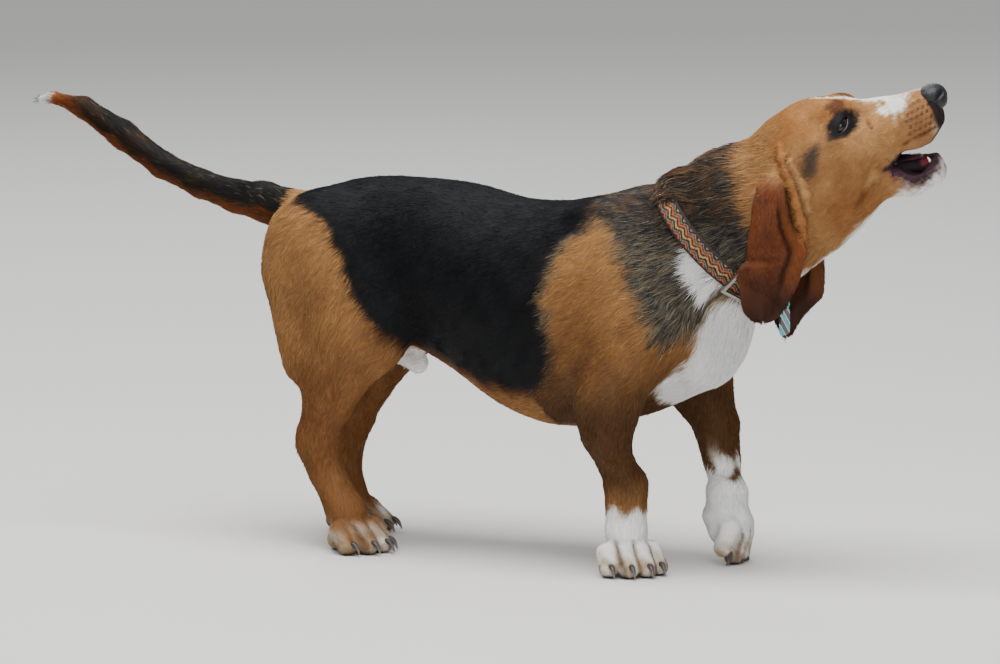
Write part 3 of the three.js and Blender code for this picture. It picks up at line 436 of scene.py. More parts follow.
def eyeOpening(s):
    """The almond between the lids, as a field in the head's frame."""
    axes = eyeAxes(s)

    def field(p):
        q = (p - eyePlace[s]) @ axes.T
        lie = np.clip(1 - (q[:, 1] / lidHalf) ** 2, -1, 1)
        above = q[:, 2] - upperLid * lie
        below = -lowerLid * lie - q[:, 2]
        return np.maximum(np.maximum(above, below), 2 - q[:, 0])
    return field


def lidded(shape):
    lidBalls = [ball(eyePlace[s], [eyeRadius + lidThickness] * 3) for s in (-1, 1)]
    openings = [eyeOpening(s) for s in (-1, 1)]

    def mass(p):
        out = shape(p)
        for s, lid, opening in zip((-1, 1), lidBalls, openings):
            away = np.linalg.norm(p - eyePlace[s], axis=1)
            close = away < lidReach
            if close.any():
                q = p[close]
                cut = np.maximum(opening(q), eyeRadius - 1.7 - away[close])
                out[close] = softMax(softMin(out[close], lid(q), 5), -cut, 1.2)
        return out
    return mass


headShut = melt(9, headMasses, jawMasses)


def crease(points, depth, width):
    """A groove along a line of points, as what it takes from a mass."""
    return lambda p: depth * np.exp(-squaredGap(p, points) / (2 * width * width))


# The creases of the face, on both sides: line, depth, width
faceLines = [
    ([[84, 20, -26], [80, 29, -38], [68, 38, -46]], 1.6, 2.6),
    ([[84, 12, -7], [88, 18, -13], [95, 29, -29]], 1.1, 1.5),
    ([[98, 24, -62], [86, 33, -64], [76, 37, -72], [70, 36, -84]], 2.0, 2.8),
    ([[136, 20, -47], [122, 24, -53], [110, 27, -52], [98, 29, -60]], 1.7, 2.2),
    ([[122, 24, -59], [108, 27, -61], [98, 30, -68], [90, 33, -76]], 1.6, 2.4),
    ([[60, 26, -3], [50, 33, -12], [44, 38, -24]], 1.3, 3.2),
    ([[52, 38, -62], [44, 38, -80], [40, 34, -98]], 1.8, 3.6),
    ([[34, 40, -70], [26, 40, -86], [20, 36, -104]], 1.5, 4.0),
]
headCreases = [crease([[x, y * s, z] for x, y, z in line], depth, width)
               for s in (-1, 1) for line, depth, width in faceLines]
philtrum = crease([[166, 0, -28], [163.5, 0, -38], [160, 0, -47], [152, 0, -54]], 1.6, 1.5)


def headShape(p):
    out = headShut(p)
    for groove in headCreases + [philtrum]:
        out = out + groove(p)
    out = softMax(out, -mouthHollow(p), 3)
    out = softMin(out, gumRidge(p), 1.5)
    for s in (-1, 1):
        out = softMax(out, -socket(s)(p), 5)
    return out


headMass = near(inHead(lidded(headShape)), [95, -45, 270], [290, 100, 470], 30)

# Ears: a leather sheet that leaves the side of the head, drapes over cheek and neck, and hangs straight down

# Down each ear as a share of its drop: middle of the sheet, half width
earOutline = {-1: np.array([
    [0, -1, 6],
    [0.09, -4, 9],
    [0.17, -5.8, 12.8],
    [0.26, -6.6, 16.6],
    [0.39, -5.5, 19],
    [0.467, -3.6, 23.1],
    [0.547, -1.2, 26.5],
    [0.61, -3.2, 26.5],
    [0.66, -7.5, 28.6],
    [0.71, -9.8, 28.6],
    [0.77, -10, 26],
    [0.84, -12.4, 23.2],
    [0.908, -14.6, 19.4],
    [0.95, -15, 15.8],
    [0.985, -15, 9],
    [1, -15, 3],
], float), 1: np.array([
    [0, -1, 6],
    [0.09, -4, 9],
    [0.17, -5.8, 12.8],
    [0.26, -6.5, 16.5],
    [0.39, -5, 20],
    [0.5, -2, 24],
    [0.62, -2.4, 26.8],
    [0.7, -3.6, 28.2],
    [0.76, -4.4, 28.2],
    [0.8, -5.6, 26.6],
    [0.84, -8.2, 22],
    [0.88, -11, 16.4],
    [0.92, -12, 12],
    [0.96, -12.5, 8.5],
    [1, -13, 4],
], float)}
earDrop = {-1: 153.5, 1: 186.0}
earRootDepth = 9.0
earRootArch = 14.0
earClearance = 3.5
earThickness = 4.5
earAcross = np.linspace(-1.5, 1.5, 31)
earDown = np.linspace(0, 1.06, 54)
earGround = melt(6, inHead(headMasses), inHead(jawMasses), chain(neck))


def surfaceOut(level, out):
    """How far out of the ear's hanging plane the body's surface lies, found from outside inwards."""
    steps = np.arange(50, -40, -1.5)
    found = np.full(len(level), -40.0)
    for t in steps[::-1]:
        found[earGround(level + out * t) < 0] = t
    return found


def evened(sheet):
    """A table of heights, each drawn towards its neighbours, six times over."""
    for _ in range(6):
        padded = np.pad(sheet, 1, mode="edge")
        sheet = (2 * padded[1:-1, 1:-1] + padded[:-2, 1:-1] + padded[2:, 1:-1]
                 + padded[1:-1, :-2] + padded[1:-1, 2:]) / 6
    return sheet


class Ear:
    """The leather of one ear, as a table of how far its middle lies out of the plane that it hangs in."""

    def __init__(self, side):
        yaw = math.radians(headYaw)
        self.outline = earOutline[side]
        self.drop = earDrop[side]
        self.origin = fromHead([9.5 + 3.5 * side, 43 * side, -31])
        self.forward = np.array([math.cos(yaw), math.sin(yaw), 0])
        self.out = np.array([-side * math.sin(yaw), side * math.cos(yaw), 0])
        down, across = np.meshgrid(earDown, earAcross, indexing="ij")
        middle = readTable(self.outline, down, 1)
        half = readTable(self.outline, down, 2)
        fall = down * self.drop
        level = (self.origin + (middle + half * across)[..., None] * self.forward
                 - fall[..., None] * np.array([0, 0, 1.0]))
        # The root lies inside the head. Below it the sheet lies on the body, or hangs free of it
        rise = np.clip((fall - earRootArch * np.minimum(across ** 2, 1)) / 26, 0, 1)
        ground = surfaceOut(level.reshape(-1, 3), self.out).reshape(down.shape)
        rooted = ground - earRootDepth * (1 - rise) + (earClearance + earThickness) * rise
        hanging = 5 - 8 * down - 40 * (1 - rise)
        cup = 4 * np.clip(across, 0, 1.2) ** 2 * np.clip(1.3 - down * 1.6, 0, 1) * rise
        self.sheet = self.folded(evened(softMax(rooted, hanging, 10) + cup), across, down)
        gx = np.gradient(self.sheet, earDown * self.drop, axis=0)
        gy = np.gradient(self.sheet, earAcross, axis=1) / half
        self.slope = np.sqrt(1 + gx ** 2 + gy ** 2)

    def folded(self, sheet, across, down):
        """The sheet with its waves, the turned front edge, the step behind, the hollow below and the tip."""
        waves = 1.1 * np.sin(3.4 * across + 5.0 * down + 0.7) + 0.7 * np.sin(7.1 * across - 4.0 * down)
        sheet = sheet + smoothstep(0.12, 0.5, down) * waves
        # The front edge, turned in, with a ridge beside it
        strip = smoothstep(0.22, 0.62, across) * smoothstep(0.2, 0.34, down) * smoothstep(0.86, 0.72, down)
        ridge = np.exp(-((across - 0.2) / 0.28) ** 2)
        sheet = sheet - 6.5 * strip + 2.2 * ridge * strip.max(1, keepdims=True)
        # The step across the rear half, with a dent above it
        rear = smoothstep(0.35, -0.15, across)
        dent = np.exp(-((down - 0.595) / 0.022) ** 2)
        sheet = sheet + 5.0 * smoothstep(0.6, 0.65, down) * rear - 1.8 * dent * rear
        # The slanting hollow low down, and the tip that turns out
        hollow = (across + 0.55 - (down - 0.72) * 3.6) / 0.34
        reach = smoothstep(0.66, 0.74, down) * smoothstep(0.93, 0.84, down)
        sheet = sheet - 3.2 * np.exp(-hollow ** 2) * reach
        return sheet + 1.8 * smoothstep(0.9, 1.0, down)

    def place(self, p):
        """A place seen from the ear: shares across and down, how far out it is, and the half width there."""
        q = p - self.origin
        fall = -q[:, 2]
        down = fall / self.drop
        middle = readTable(self.outline, down, 1)
        half = readTable(self.outline, down, 2)
        return (q @ self.forward - middle) / half, down, q @ self.out, half

    def read(self, table, across, down):
        a = np.clip((across - earAcross[0]) / (earAcross[1] - earAcross[0]), 0, len(earAcross) - 1.001)
        d = np.clip(down / (earDown[1] - earDown[0]), 0, len(earDown) - 1.001)
        i, j = d.astype(int), a.astype(int)
        u, v = d - i, a - j
        return (table[i, j] * (1 - u) * (1 - v) + table[i + 1, j] * u * (1 - v)
                + table[i, j + 1] * (1 - u) * v + table[i + 1, j + 1] * u * v)

    def __call__(self, p):
        across, down, out, half = self.place(p)
        gapOut = np.abs(out - self.read(self.sheet, across, down)) / self.read(self.slope, across, down)
        beside = (np.abs(across) - 1) * half * 0.9
        beyond = np.maximum(beside, (down - 1) * self.drop)
        thick = earThickness + 0.1 - 0.6 * smoothstep(-5, 0, beyond)
        value = softMax(gapOut - thick / 2, beyond + 0.4, 1.8)
        return np.maximum(value, -down * self.drop - 2)


def earMass(ear):
    tip = ear.origin - [0, 0, ear.drop]
    return near(ear, np.minimum(ear.origin, tip) - 45, np.maximum(ear.origin, tip) + 45, 4)


# The folds of skin along each ear's front edge, which make the cup's front wall: forward, height, radius
earFolds = [
    [(-1, 12, 2.6), (3, 0, 4.4), (8, -11, 5.2), (13, -23, 5.4), (17.5, -41, 5), (20.5, -58, 4.2),
     (22.5, -73, 3)],
    [(11, -2, 2.4), (16, -13, 3.8), (21, -23, 4.4), (25, -34, 4.4), (27, -45, 3)],
]


def foldRows(ear, places):
    rows = []
    for forward, rise, radius in places:
        level = ear.origin + forward * ear.forward + np.array([0, 0, rise])
        lift = surfaceOut(level[None], ear.out)[0] + 1.5
        rows.append([*(level + ear.out * lift), radius, radius])
    return rows


ears = {s: Ear(s) for s in (-1, 1)}
earMasses = {s: earMass(ears[s]) for s in (-1, 1)}
ridges = [[foldRows(ears[s], places) for s in (-1, 1)] for places in earFolds]
folds = melt(2, *[chain(rows) for pair in ridges for rows in pair])
foldMass = near(folds, [100, -60, 270], [230, 110, 420], 20)

# The whole body, with the depth that its coat needs

legMasses = [legMass(leg) for leg in legs]
pawMasses = [pawMass(leg) for leg in legs]
neckMass = chain(neck)


def coatDepth(p):
    """How far the skin lies under the outer surface of the coat."""
    h = toHead(p)
    onHead = smoothstep(-14, 24, h[:, 0] + 0.3 * h[:, 2])
    low = smoothstep(150, 60, p[:, 2])
    ruff = smoothstep(-70, 40, p[:, 0]) * (1 - low)
    depth = 1.2 + 1.0 * ruff - 0.6 * low
    return depth * (1 - onHead) + 0.5 * onHead


def earless(p):
    """The body without its ears."""
    out = trunkMass(p)
    joins = [(neckMass, 22.0), (dewlap, 22.0), (headMass, 20.0)]
    joins += [(mass, 22.0) for mass in legMasses + [sheath]]
    for mass, softness in joins:
        out = softMin(out, mass(p), softness)
    out = out + coatDepth(p)
    for mass in pawMasses:
        out = softMin(out, mass(p) + 0.3, 3.0)
    return softMin(out, tailMass(p), 16.0)


def bodyField(p):
    out = softMin(earless(p), foldMass(p), 2.5)
    for s in (-1, 1):
        _, down, _, _ = ears[s].place(p)
        out = softMin(out, earMasses[s](p), 1.2 + 5.0 * smoothstep(0.24, 0.08, down))
    return np.maximum(out, -p[:, 2])


# The skin as one closed surface, on a grid that is finer at the head, ears and paws

def spaced(*runs):
    points = []
    for low, high, step in runs:
        points.append(np.linspace(low, high, max(int(round((high - low) / step)), 1), endpoint=False))
    return np.append(np.concatenate(points), runs[-1][1])


coarse = 1.0
grid = [
    spaced((-670, -600, 2.6), (-600, -392, 4.8 * coarse), (-392, -224, 4.0 * coarse),
           (-224, -16, 7.0 * coarse), (-16, 92, 3.2 * coarse), (92, 290, 2.0 * coarse)),
    spaced((-118, -48, 3.4 * coarse), (-48, 96, 2.2 * coarse), (96, 118, 3.4 * coarse)),
    spaced((-4, 60, 2.8 * coarse), (60, 215, 5.0 * coarse),
           (215, 340, 2.7 * coarse), (340, 470, 2.1 * coarse)),
]
chunk = 150000


def inChunks(field, p):
    return np.concatenate([field(p[i:i + chunk]) for i in range(0, len(p), chunk)])


blockCells = 6
steepest = 1.35
blockSlack = 3.0


def fieldOnGrid(field, axes):
    """Values at the grid's points, worked out only in blocks that the surface may cross."""
    counts = [len(a) for a in axes]
    values = np.full(counts, 50.0, np.float32)
    starts = [np.arange(0, n - 1, blockCells) for n in counts]
    ends = [np.minimum(s + blockCells, n - 1) for s, n in zip(starts, counts)]
    middles = [(a[s] + a[e]) / 2 for a, s, e in zip(axes, starts, ends)]
    halves = [(a[e] - a[s]) / 2 for a, s, e in zip(axes, starts, ends)]
    centre = np.stack(np.meshgrid(*middles, indexing="ij"), -1).reshape(-1, 3)
    half = np.stack(np.meshgrid(*halves, indexing="ij"), -1).reshape(-1, 3)
    at = np.stack(np.meshgrid(*[np.arange(len(s)) for s in starts], indexing="ij"), -1).reshape(-1, 3)
    value = inChunks(field, centre)
    crossed = np.abs(value) < np.linalg.norm(half, axis=1) * steepest + blockSlack
    needed = np.zeros(counts, bool)
    for block, v, hit in zip(at, value, crossed):
        region = tuple(slice(starts[k][block[k]], ends[k][block[k]] + 1) for k in range(3))
        if hit:
            needed[region] = True
        elif v < 0:
            values[region] = -50
    index = np.argwhere(needed)
    points = np.stack([axes[k][index[:, k]] for k in range(3)], 1)
    values[needed] = inChunks(field, points)
    return values


def surface(field, axes, steps=2):
    """Surface nets: a point in each crossed cell, joined by four-sided faces, then moved onto the surface."""
    values = fieldOnGrid(field, axes)
    inside = values < 0
    corner = [(a, b, c) for a in (0, 1) for b in (0, 1) for c in (0, 1)]
    shape = [n - 1 for n in values.shape]

    def at(array, offset):
        return array[tuple(slice(o, o + n) for o, n in zip(offset, shape))]
    total = sum(at(inside, c).astype(np.int8) for c in corner)
    cells = np.argwhere((total > 0) & (total < 8))
    number = np.full(shape, -1, np.int64)
    number[tuple(cells.T)] = np.arange(len(cells))
    v = {c: values[tuple((cells + c).T)] for c in corner}
    low = np.stack([axes[k][cells[:, k]] for k in range(3)], 1)
    size = np.stack([axes[k][cells[:, k] + 1] for k in range(3)], 1) - low
    total = np.zeros((len(cells), 3))
    count = np.zeros(len(cells))
    for a in corner:
        for k in range(3):
            if a[k]:
                continue
            b = tuple(1 if n == k else a[n] for n in range(3))
            crossed = (v[a] < 0) != (v[b] < 0)
            t = np.where(crossed, v[a] / np.where(crossed, v[a] - v[b], 1), 0)
            point = np.array(a, float)[None] + t[:, None] * np.eye(3)[k]
            total += np.where(crossed[:, None], point, 0)
            count += crossed
    points = low + size * total / count[:, None]
    faces = []
    for k in range(3):
        m, n = (k + 1) % 3, (k + 2) % 3
        first = tuple(slice(0, -1) if a == k else slice(1, -1) for a in range(3))
        second = tuple(slice(1, None) if a == k else slice(1, -1) for a in range(3))
        start, end = inside[first], inside[second]
        edges = np.argwhere(start != end)
        flip = end[tuple(edges.T)]
        edges[:, m] += 1
        edges[:, n] += 1
        ring = []
        for dm, dn in ((0, 0), (1, 0), (1, 1), (0, 1)):
            cell = edges.copy()
            cell[:, m] -= dm
            cell[:, n] -= dn
            ring.append(number[tuple(cell.T)])
        ring = np.stack(ring, 1)
        ring[~flip] = ring[~flip][:, ::-1]
        faces.append(ring[:, ::-1])
    faces = np.concatenate(faces)
    faces = faces[(faces >= 0).all(1)]
    reach = size.min(1) * 0.5
    for _ in range(steps):
        points = settled(field, points, reach)
    return points, faces


def slopes(field, p, step=0.4):
    return np.stack([(inChunks(field, p + step * e) - inChunks(field, p - step * e)) / (2 * step)
                     for e in np.eye(3)], 1)


def settled(field, p, reach):
    value = inChunks(field, p)
    slope = slopes(field, p)
    move = -value[:, None] * slope / np.maximum((slope ** 2).sum(1), 0.1)[:, None]
    size = np.linalg.norm(move, axis=1)
    return p + move * np.minimum(1, reach / np.maximum(size, 1e-9))[:, None]


# Objects

eyeBox = np.array(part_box("eye_right"))
eyeCentre = fromHead(eyePlace[-1])
shift = eyeBox.mean(0) - eyeCentre / 1000.0


def toFrame(p):
    return np.asarray(p) / 1000.0 + shift


def meshObject(name, points, faces):
    """A mesh in the shared frame from points in the dog's, and an array of faces or a list of such arrays."""
    groups = faces if isinstance(faces, list) else [faces]
    mesh = bpy.data.meshes.new(name)
    loops = np.concatenate([g.reshape(-1) for g in groups]).astype(np.int32)
    sizes = np.concatenate([np.full(len(g), g.shape[1], np.int32) for g in groups])
    mesh.vertices.add(len(points))
    mesh.vertices.foreach_set("co", toFrame(points).astype(np.float32).ravel())
    mesh.loops.add(len(loops))
    mesh.loops.foreach_set("vertex_index", loops)
    mesh.polygons.add(len(sizes))
    mesh.polygons.foreach_set("loop_start", np.concatenate([[0], np.cumsum(sizes)[:-1]]).astype(np.int32))
    mesh.polygons.foreach_set("use_smooth", np.ones(len(sizes), bool))
    mesh.update(calc_edges=True)
    mesh.validate()
    obj = bpy.data.objects.new(name, mesh)
    bpy.context.scene.collection.objects.link(obj)
    return obj


def colourPoints(obj, colours):
    layer = obj.data.color_attributes.new("tone", "FLOAT_COLOR", "POINT")
    full = np.concatenate([colours, np.ones((len(colours), 1))], 1)
    layer.data.foreach_set("color", full.astype(np.float32).ravel())


def linear(c):
    """Display values from 0 to 255 as the linear ones that Blender takes."""
    c = np.asarray(c, float) / 255.0
    return np.where(c <= 0.04045, c / 12.92, ((np.maximum(c, 0) + 0.055) / 1.055) ** 2.4)


# Smooth noise from a few seeded waves

class Waves:
    def __init__(self, seed, wavelength, count=9):
        draw = np.random.default_rng(seed)
        ways = unit(draw.normal(size=(count, 3)))
        self.k = ways * (2 * math.pi / wavelength) * draw.uniform(0.6, 1.6, (count, 1))
        self.phase = draw.uniform(0, 2 * math.pi, count)

    def __call__(self, p):
        return np.sin(p @ self.k.T + self.phase).sum(1) / math.sqrt(len(self.phase))


broad = Waves(3, 90)
patchy = Waves(5, 32)
fine = Waves(7, 11)
finest = Waves(11, 5)
drift = [Waves(13 + k, 26) for k in range(3)]
fleck = Waves(29, 5.0, 14)
noseGrain = Waves(41, 2.6, 12)
tongueGrain = Waves(43, 2.2, 10)

# Markings: areas of the side view and of the head, with soft, uneven edges

saddle = [(-378, 420), (-345, 330), (-304, 314), (-277, 277), (-267, 255), (-243, 226), (-231, 212),
          (-216, 204), (-191, 191), (-149, 179), (-112, 170), (-78, 168), (-60, 178), (-52, 205), (-52, 229),
          (-60, 262), (-54, 296), (-40, 318), (-22, 335), (-34, 350), (-36, 420)]
grizzle = [(-44, 420), (-40, 350), (-24, 336), (2, 319), (19, 304), (40, 262), (54, 235), (60, 218),
           (78, 228), (94, 252), (112, 266), (142, 284), (140, 318), (128, 344), (115, 374), (103, 398),
           (98, 440)]
whiteChest = [(33, 148), (36, 165), (46, 184), (53, 200), (61, 219), (78, 229), (94, 254), (112, 262),
              (170, 262), (170, 110), (33, 110)]
whiteStrip = [(70, 324), (76, 308), (79, 285), (90, 262), (104, 270), (97, 284), (90, 297), (80, 314)]
throatLine = [(180, 48, 316), (150, 32, 286), (126, 14, 262), (118, 4, 236)]
eyePatch = [(55, -26), (60, -14), (69, -5), (76, -6.5), (82, -12), (86, -19.5), (81, -24), (75, -28.5),
            (66, -28)]
foldLine = [(119, 27, -51.5), (127, 26, -51), (136, 24, -50), (146, 21, -46)]
frownLine = [(84, 12, -7), (88, 18, -13), (95, 29, -29)]
jawLine = [(84, 33, -76), (74, 37, -83), (62, 38, -92)]
whiskerSpots = [(127.5 + 5.0 * column + 2.2 * (row % 2), -22.0 - 5.6 * row + 0.9 * column)
                for row in range(6) for column in range(5)]


def inArea(x, z, corners):
    """Signed distance to an area's edge, negative inside."""
    far = np.full(len(x), 1e9)
    odd = np.zeros(len(x), bool)
    for (x0, z0), (x1, z1) in zip(corners, corners[1:] + corners[:1]):
        dx, dz = x1 - x0, z1 - z0
        t = np.clip(((x - x0) * dx + (z - z0) * dz) / (dx * dx + dz * dz), 0, 1)
        far = np.minimum(far, (x - x0 - t * dx) ** 2 + (z - z0 - t * dz) ** 2)
        crosses = (z0 > z) != (z1 > z)
        odd ^= crosses & (x < x0 + (z - z0) * dx / (dz if dz else 1e-9))
    return np.where(odd, -1, 1) * np.sqrt(far)


def tone(*rgb):
    return np.array(rgb, float)


def allOf(colour, n):
    return np.repeat(colour[None], n, 0)


tanDeep = tone(106, 69, 37)
tanLight = tone(156, 114, 70)
saddleBlack = tone(13, 14, 16)
greyBrown = tone(88, 77, 60)
paleGrey = tone(172, 158, 130)
white = tone(243, 242, 239)
earBrown = tone(104, 55, 29)
earDark = tone(48, 27, 19)
skinDark = tone(28, 25, 27)
lipSkin = tone(58, 40, 46)
gumRed = tone(104, 36, 44)
rust = tone(124, 68, 33)
stain = tone(148, 124, 94)


def blend(base, over, amount):
    return base + (over - base) * np.clip(amount, 0, 1)[:, None]


def earShare(p):
    """How surely a point lies on an ear, and how far down it."""
    share = np.zeros(len(p))
    along = np.zeros(len(p))
    for s in (-1, 1):
        across, down, out, _ = ears[s].place(p)
        off = np.abs(out - ears[s].read(ears[s].sheet, across, down))
        on = (off < 4.5) & (np.abs(across) < 1.15) & (down > 0.1) & (down < 1.05)
        share = np.where(on, smoothstep(0.08, 0.2, down), share)
        along = np.where(on, down, along)
    return share, along


def toeGapShade(p):
    """How near a place is to the gaps between the toes of its foot, where shade is painted."""
    out = np.zeros(len(p))
    for leg in legs:
        place, turn = leg["paw"]["at"], math.radians(leg["paw"]["turn"])
        dx, dy = p[:, 0] - place[0], p[:, 1] - place[1]
        forward = dx * math.cos(turn) + dy * math.sin(turn)
        aside = dy * math.cos(turn) - dx * math.sin(turn)
        gap = np.min([np.abs(aside - g) for g in (-16, 0, 16)], axis=0)
        onFoot = (np.hypot(dx, dy) < 46) * (p[:, 2] < 34)
        out += np.exp(-(gap / 1.7) ** 2) * smoothstep(6, 16, forward) * onFoot
    return out


def markings(p, jitter=0.0):
    """The coat's colour at points of the body, in display values from 0 to 255, and how grizzled it is."""
    n = len(p)
    q = p + 2.6 * np.stack([d(p) for d in drift], 1) + jitter
    x, y, z = q.T
    side = np.abs(y)
    h = toHead(p)
    hq = toHead(q)
    head = smoothstep(-6, 26, hq[:, 0] + 0.28 * hq[:, 2] + 4)
    # Tan, lighter higher up as painted light from above, and darker on the legs as painted shade that is
    # partly also a deeper tone of the coat
    colour = allOf(tanDeep, n)
    colour = blend(colour, tanLight, 0.42 + 0.16 * broad(p) + 0.12 * patchy(p))
    colour = blend(colour, tanLight, 0.65 * smoothstep(190, 300, z) * (1 - head))
    # Painted shade on the middle of the forelegs and the lower hind legs, partly a deeper tone of the coat
    # there
    foreLegPaintedShade = smoothstep(220, 150, z) * smoothstep(60, 96, z) * (p[:, 0] > foreEnd)
    colour = blend(colour, tone(64, 41, 21), 0.85 * foreLegPaintedShade)
    colour = blend(colour, tone(104, 64, 33), 0.5 * smoothstep(200, 130, z) * (p[:, 0] < -200))

    # The saddle, its rim, and the mixed hair in front of it
    body = (p[:, 0] > tailStart) & (z > 100)
    grey = smoothstep(8, -8, inArea(x, z, grizzle)) * body
    edge = inArea(x, z, saddle)
    fringe = smoothstep(14, 1, edge) * body * smoothstep(-90, -40, x) * 0.8
    speckle = 0.3 + 0.26 * fine(p) + 0.2 * finest(p)
    griz = blend(allOf(saddleBlack, n) * 1.6, greyBrown, speckle)
    griz = blend(griz, tone(88, 58, 34), smoothstep(322, 350, z) * (0.4 + 0.3 * patchy(p)))
    griz = blend(griz, tone(116, 106, 86), smoothstep(345, 300, z) * (0.34 + 0.16 * fine(p + 17)))
    colour = blend(colour, griz, np.maximum(grey, fringe))
    rim = smoothstep(16, 2, edge) * body * smoothstep(230, 205, z)
    colour = blend(colour, tone(70, 42, 22), rim * 0.85)
    inSaddle = smoothstep(4, -5, edge) * body
    colour = blend(colour, saddleBlack + 3 * patchy(p)[:, None], inSaddle)
    grey = np.maximum(grey, fringe) * (1 - inSaddle)

    # The belly and the sheath
    under = smoothstep(34, 14, side) * smoothstep(230, 180, z) * (p[:, 0] < -40) * (p[:, 0] > -330)
    colour = blend(colour, tanLight, under * 0.6)
    colour = blend(colour, white, smoothstep(26, 14, np.linalg.norm(p - [-250, 0, 174], axis=1)))

    # The white of the chest, of the neck's side and of the throat
    lowSide = side + np.maximum(175 - z, 0) * 0.45
    chest = smoothstep(3, -4, inArea(x, z, whiteChest)) * smoothstep(56, 49, lowSide)
    strip = smoothstep(5.5, -0.5, inArea(x, z, whiteStrip)) * (y < 10)
    throat = smoothstep(28, 21, lineDistance(q, throatLine))
    pale = np.maximum(np.maximum(chest, strip), throat)
    colour = blend(colour, white, pale)
    grey = grey * (1 - pale)

    # White feet, stained near the floor, with painted shade in the gaps between the toes
    fore = (p[:, 0] > -40) & (p[:, 2] < 130)
    sock = np.where(p[:, 1] < 0, 61, 84) + 2.5 * patchy(p)
    colour = blend(colour, white, smoothstep(3, -3, z - sock) * fore)
    spots = smoothstep(0.1, 0.8, patchy(p + 40)) * smoothstep(122, 90, z) * (p[:, 1] > 0) * (p[:, 1] < 66)
    colour = blend(colour, white, spots * fore)
    hind = (p[:, 0] < -200) & (p[:, 2] < 60)
    toe = smoothstep(34, 20, z)
    colour = blend(colour, white, toe * hind * (0.5 + 0.4 * patchy(p + 9)))
    colour = blend(colour, stain, smoothstep(32, 8, p[:, 2]) * (0.65 + 0.35 * fine(p)) * (p[:, 2] < 40))
    colour = blend(colour, tone(84, 62, 44), 0.75 * toeGapShade(p))

    # The tail: black above, rust below, lighter near its end, and a white tip
    onTail = p[:, 0] < -376
    top = smoothstep(-8, 2, p[:, 2] - np.interp(p[:, 0], tailX, tailZ) + 3 * fine(p))
    tailTone = blend(allOf(rust, n) * 0.8, griz * 0.5, top)
    tailTone = blend(tailTone, tone(140, 74, 36), smoothstep(-590, -632, p[:, 0]) * 0.85)
    tailTone = blend(tailTone, white, smoothstep(-636, -644, x))
    colour = blend(colour, tailTone, onTail.astype(float))
    grey = np.where(onTail, 0.14 * top * (p[:, 0] > -600), grey)

    # The head
    face, faceGrey = faceMarkings(p, h, hq)
    colour = blend(colour, face, head)
    grey = grey * (1 - head) + faceGrey * head

    # The ears: painted shade lower down, a lighter strip along the turned edge with painted shade in the
    # groove behind it, and painted shade on the front edge near the root
    share, down = earShare(p)
    # Painted shade on the lower part of the ear, with some uneven tone
    darker = 0.1 + 0.7 * smoothstep(0.5, 0.95, down) + 0.14 * patchy(p)
    earTone = blend(allOf(earBrown, n), earDark, darker)
    across = np.where(p[:, 1] < 12, ears[-1].place(p)[0], ears[1].place(p)[0])
    length = smoothstep(0.2, 0.34, down) * smoothstep(0.86, 0.7, down)
    earTone = blend(earTone, tone(130, 72, 37), smoothstep(0.4, 0.6, across) * length * 0.65)
    earTone = blend(earTone, tone(44, 25, 17), np.exp(-((across - 0.42) / 0.08) ** 2) * length * 0.8)
    earFrontShade = smoothstep(0.8, 1.0, across) * smoothstep(0.5, 0.4, down)
    earTone = blend(earTone, tone(40, 24, 17), earFrontShade * 0.7)
    # The far ear darkened as painted shade
    earTone = np.where((p[:, 1] > 30)[:, None], earTone * 0.78, earTone)
    colour = blend(colour, earTone, share)
    grey = grey * (1 - share)
    # The folds in front of the ears, with painted shade in the valley between them
    first, second = (np.min([lineDistance(p, np.array(rows)[:, :3]) for rows in pair], axis=0)
                     for pair in ridges)
    colour = blend(colour, tone(146, 94, 50), smoothstep(8, 5, first) * 0.75)
    colour = blend(colour, tone(170, 132, 88), smoothstep(7.5, 3, second) * (0.4 + 0.15 * fine(p)))
    foldValleyShade = np.exp(-((first - second) / 1.5) ** 2) * smoothstep(10, 6, first)
    colour = blend(colour, tone(62, 38, 24), foldValleyShade * 0.75)
    grey = grey * smoothstep(8, 16, first)

    soles = smoothstep(4, 1.5, p[:, 2])
    colour = blend(colour, skinDark, soles)
    return np.clip(colour, 4, 250), grey


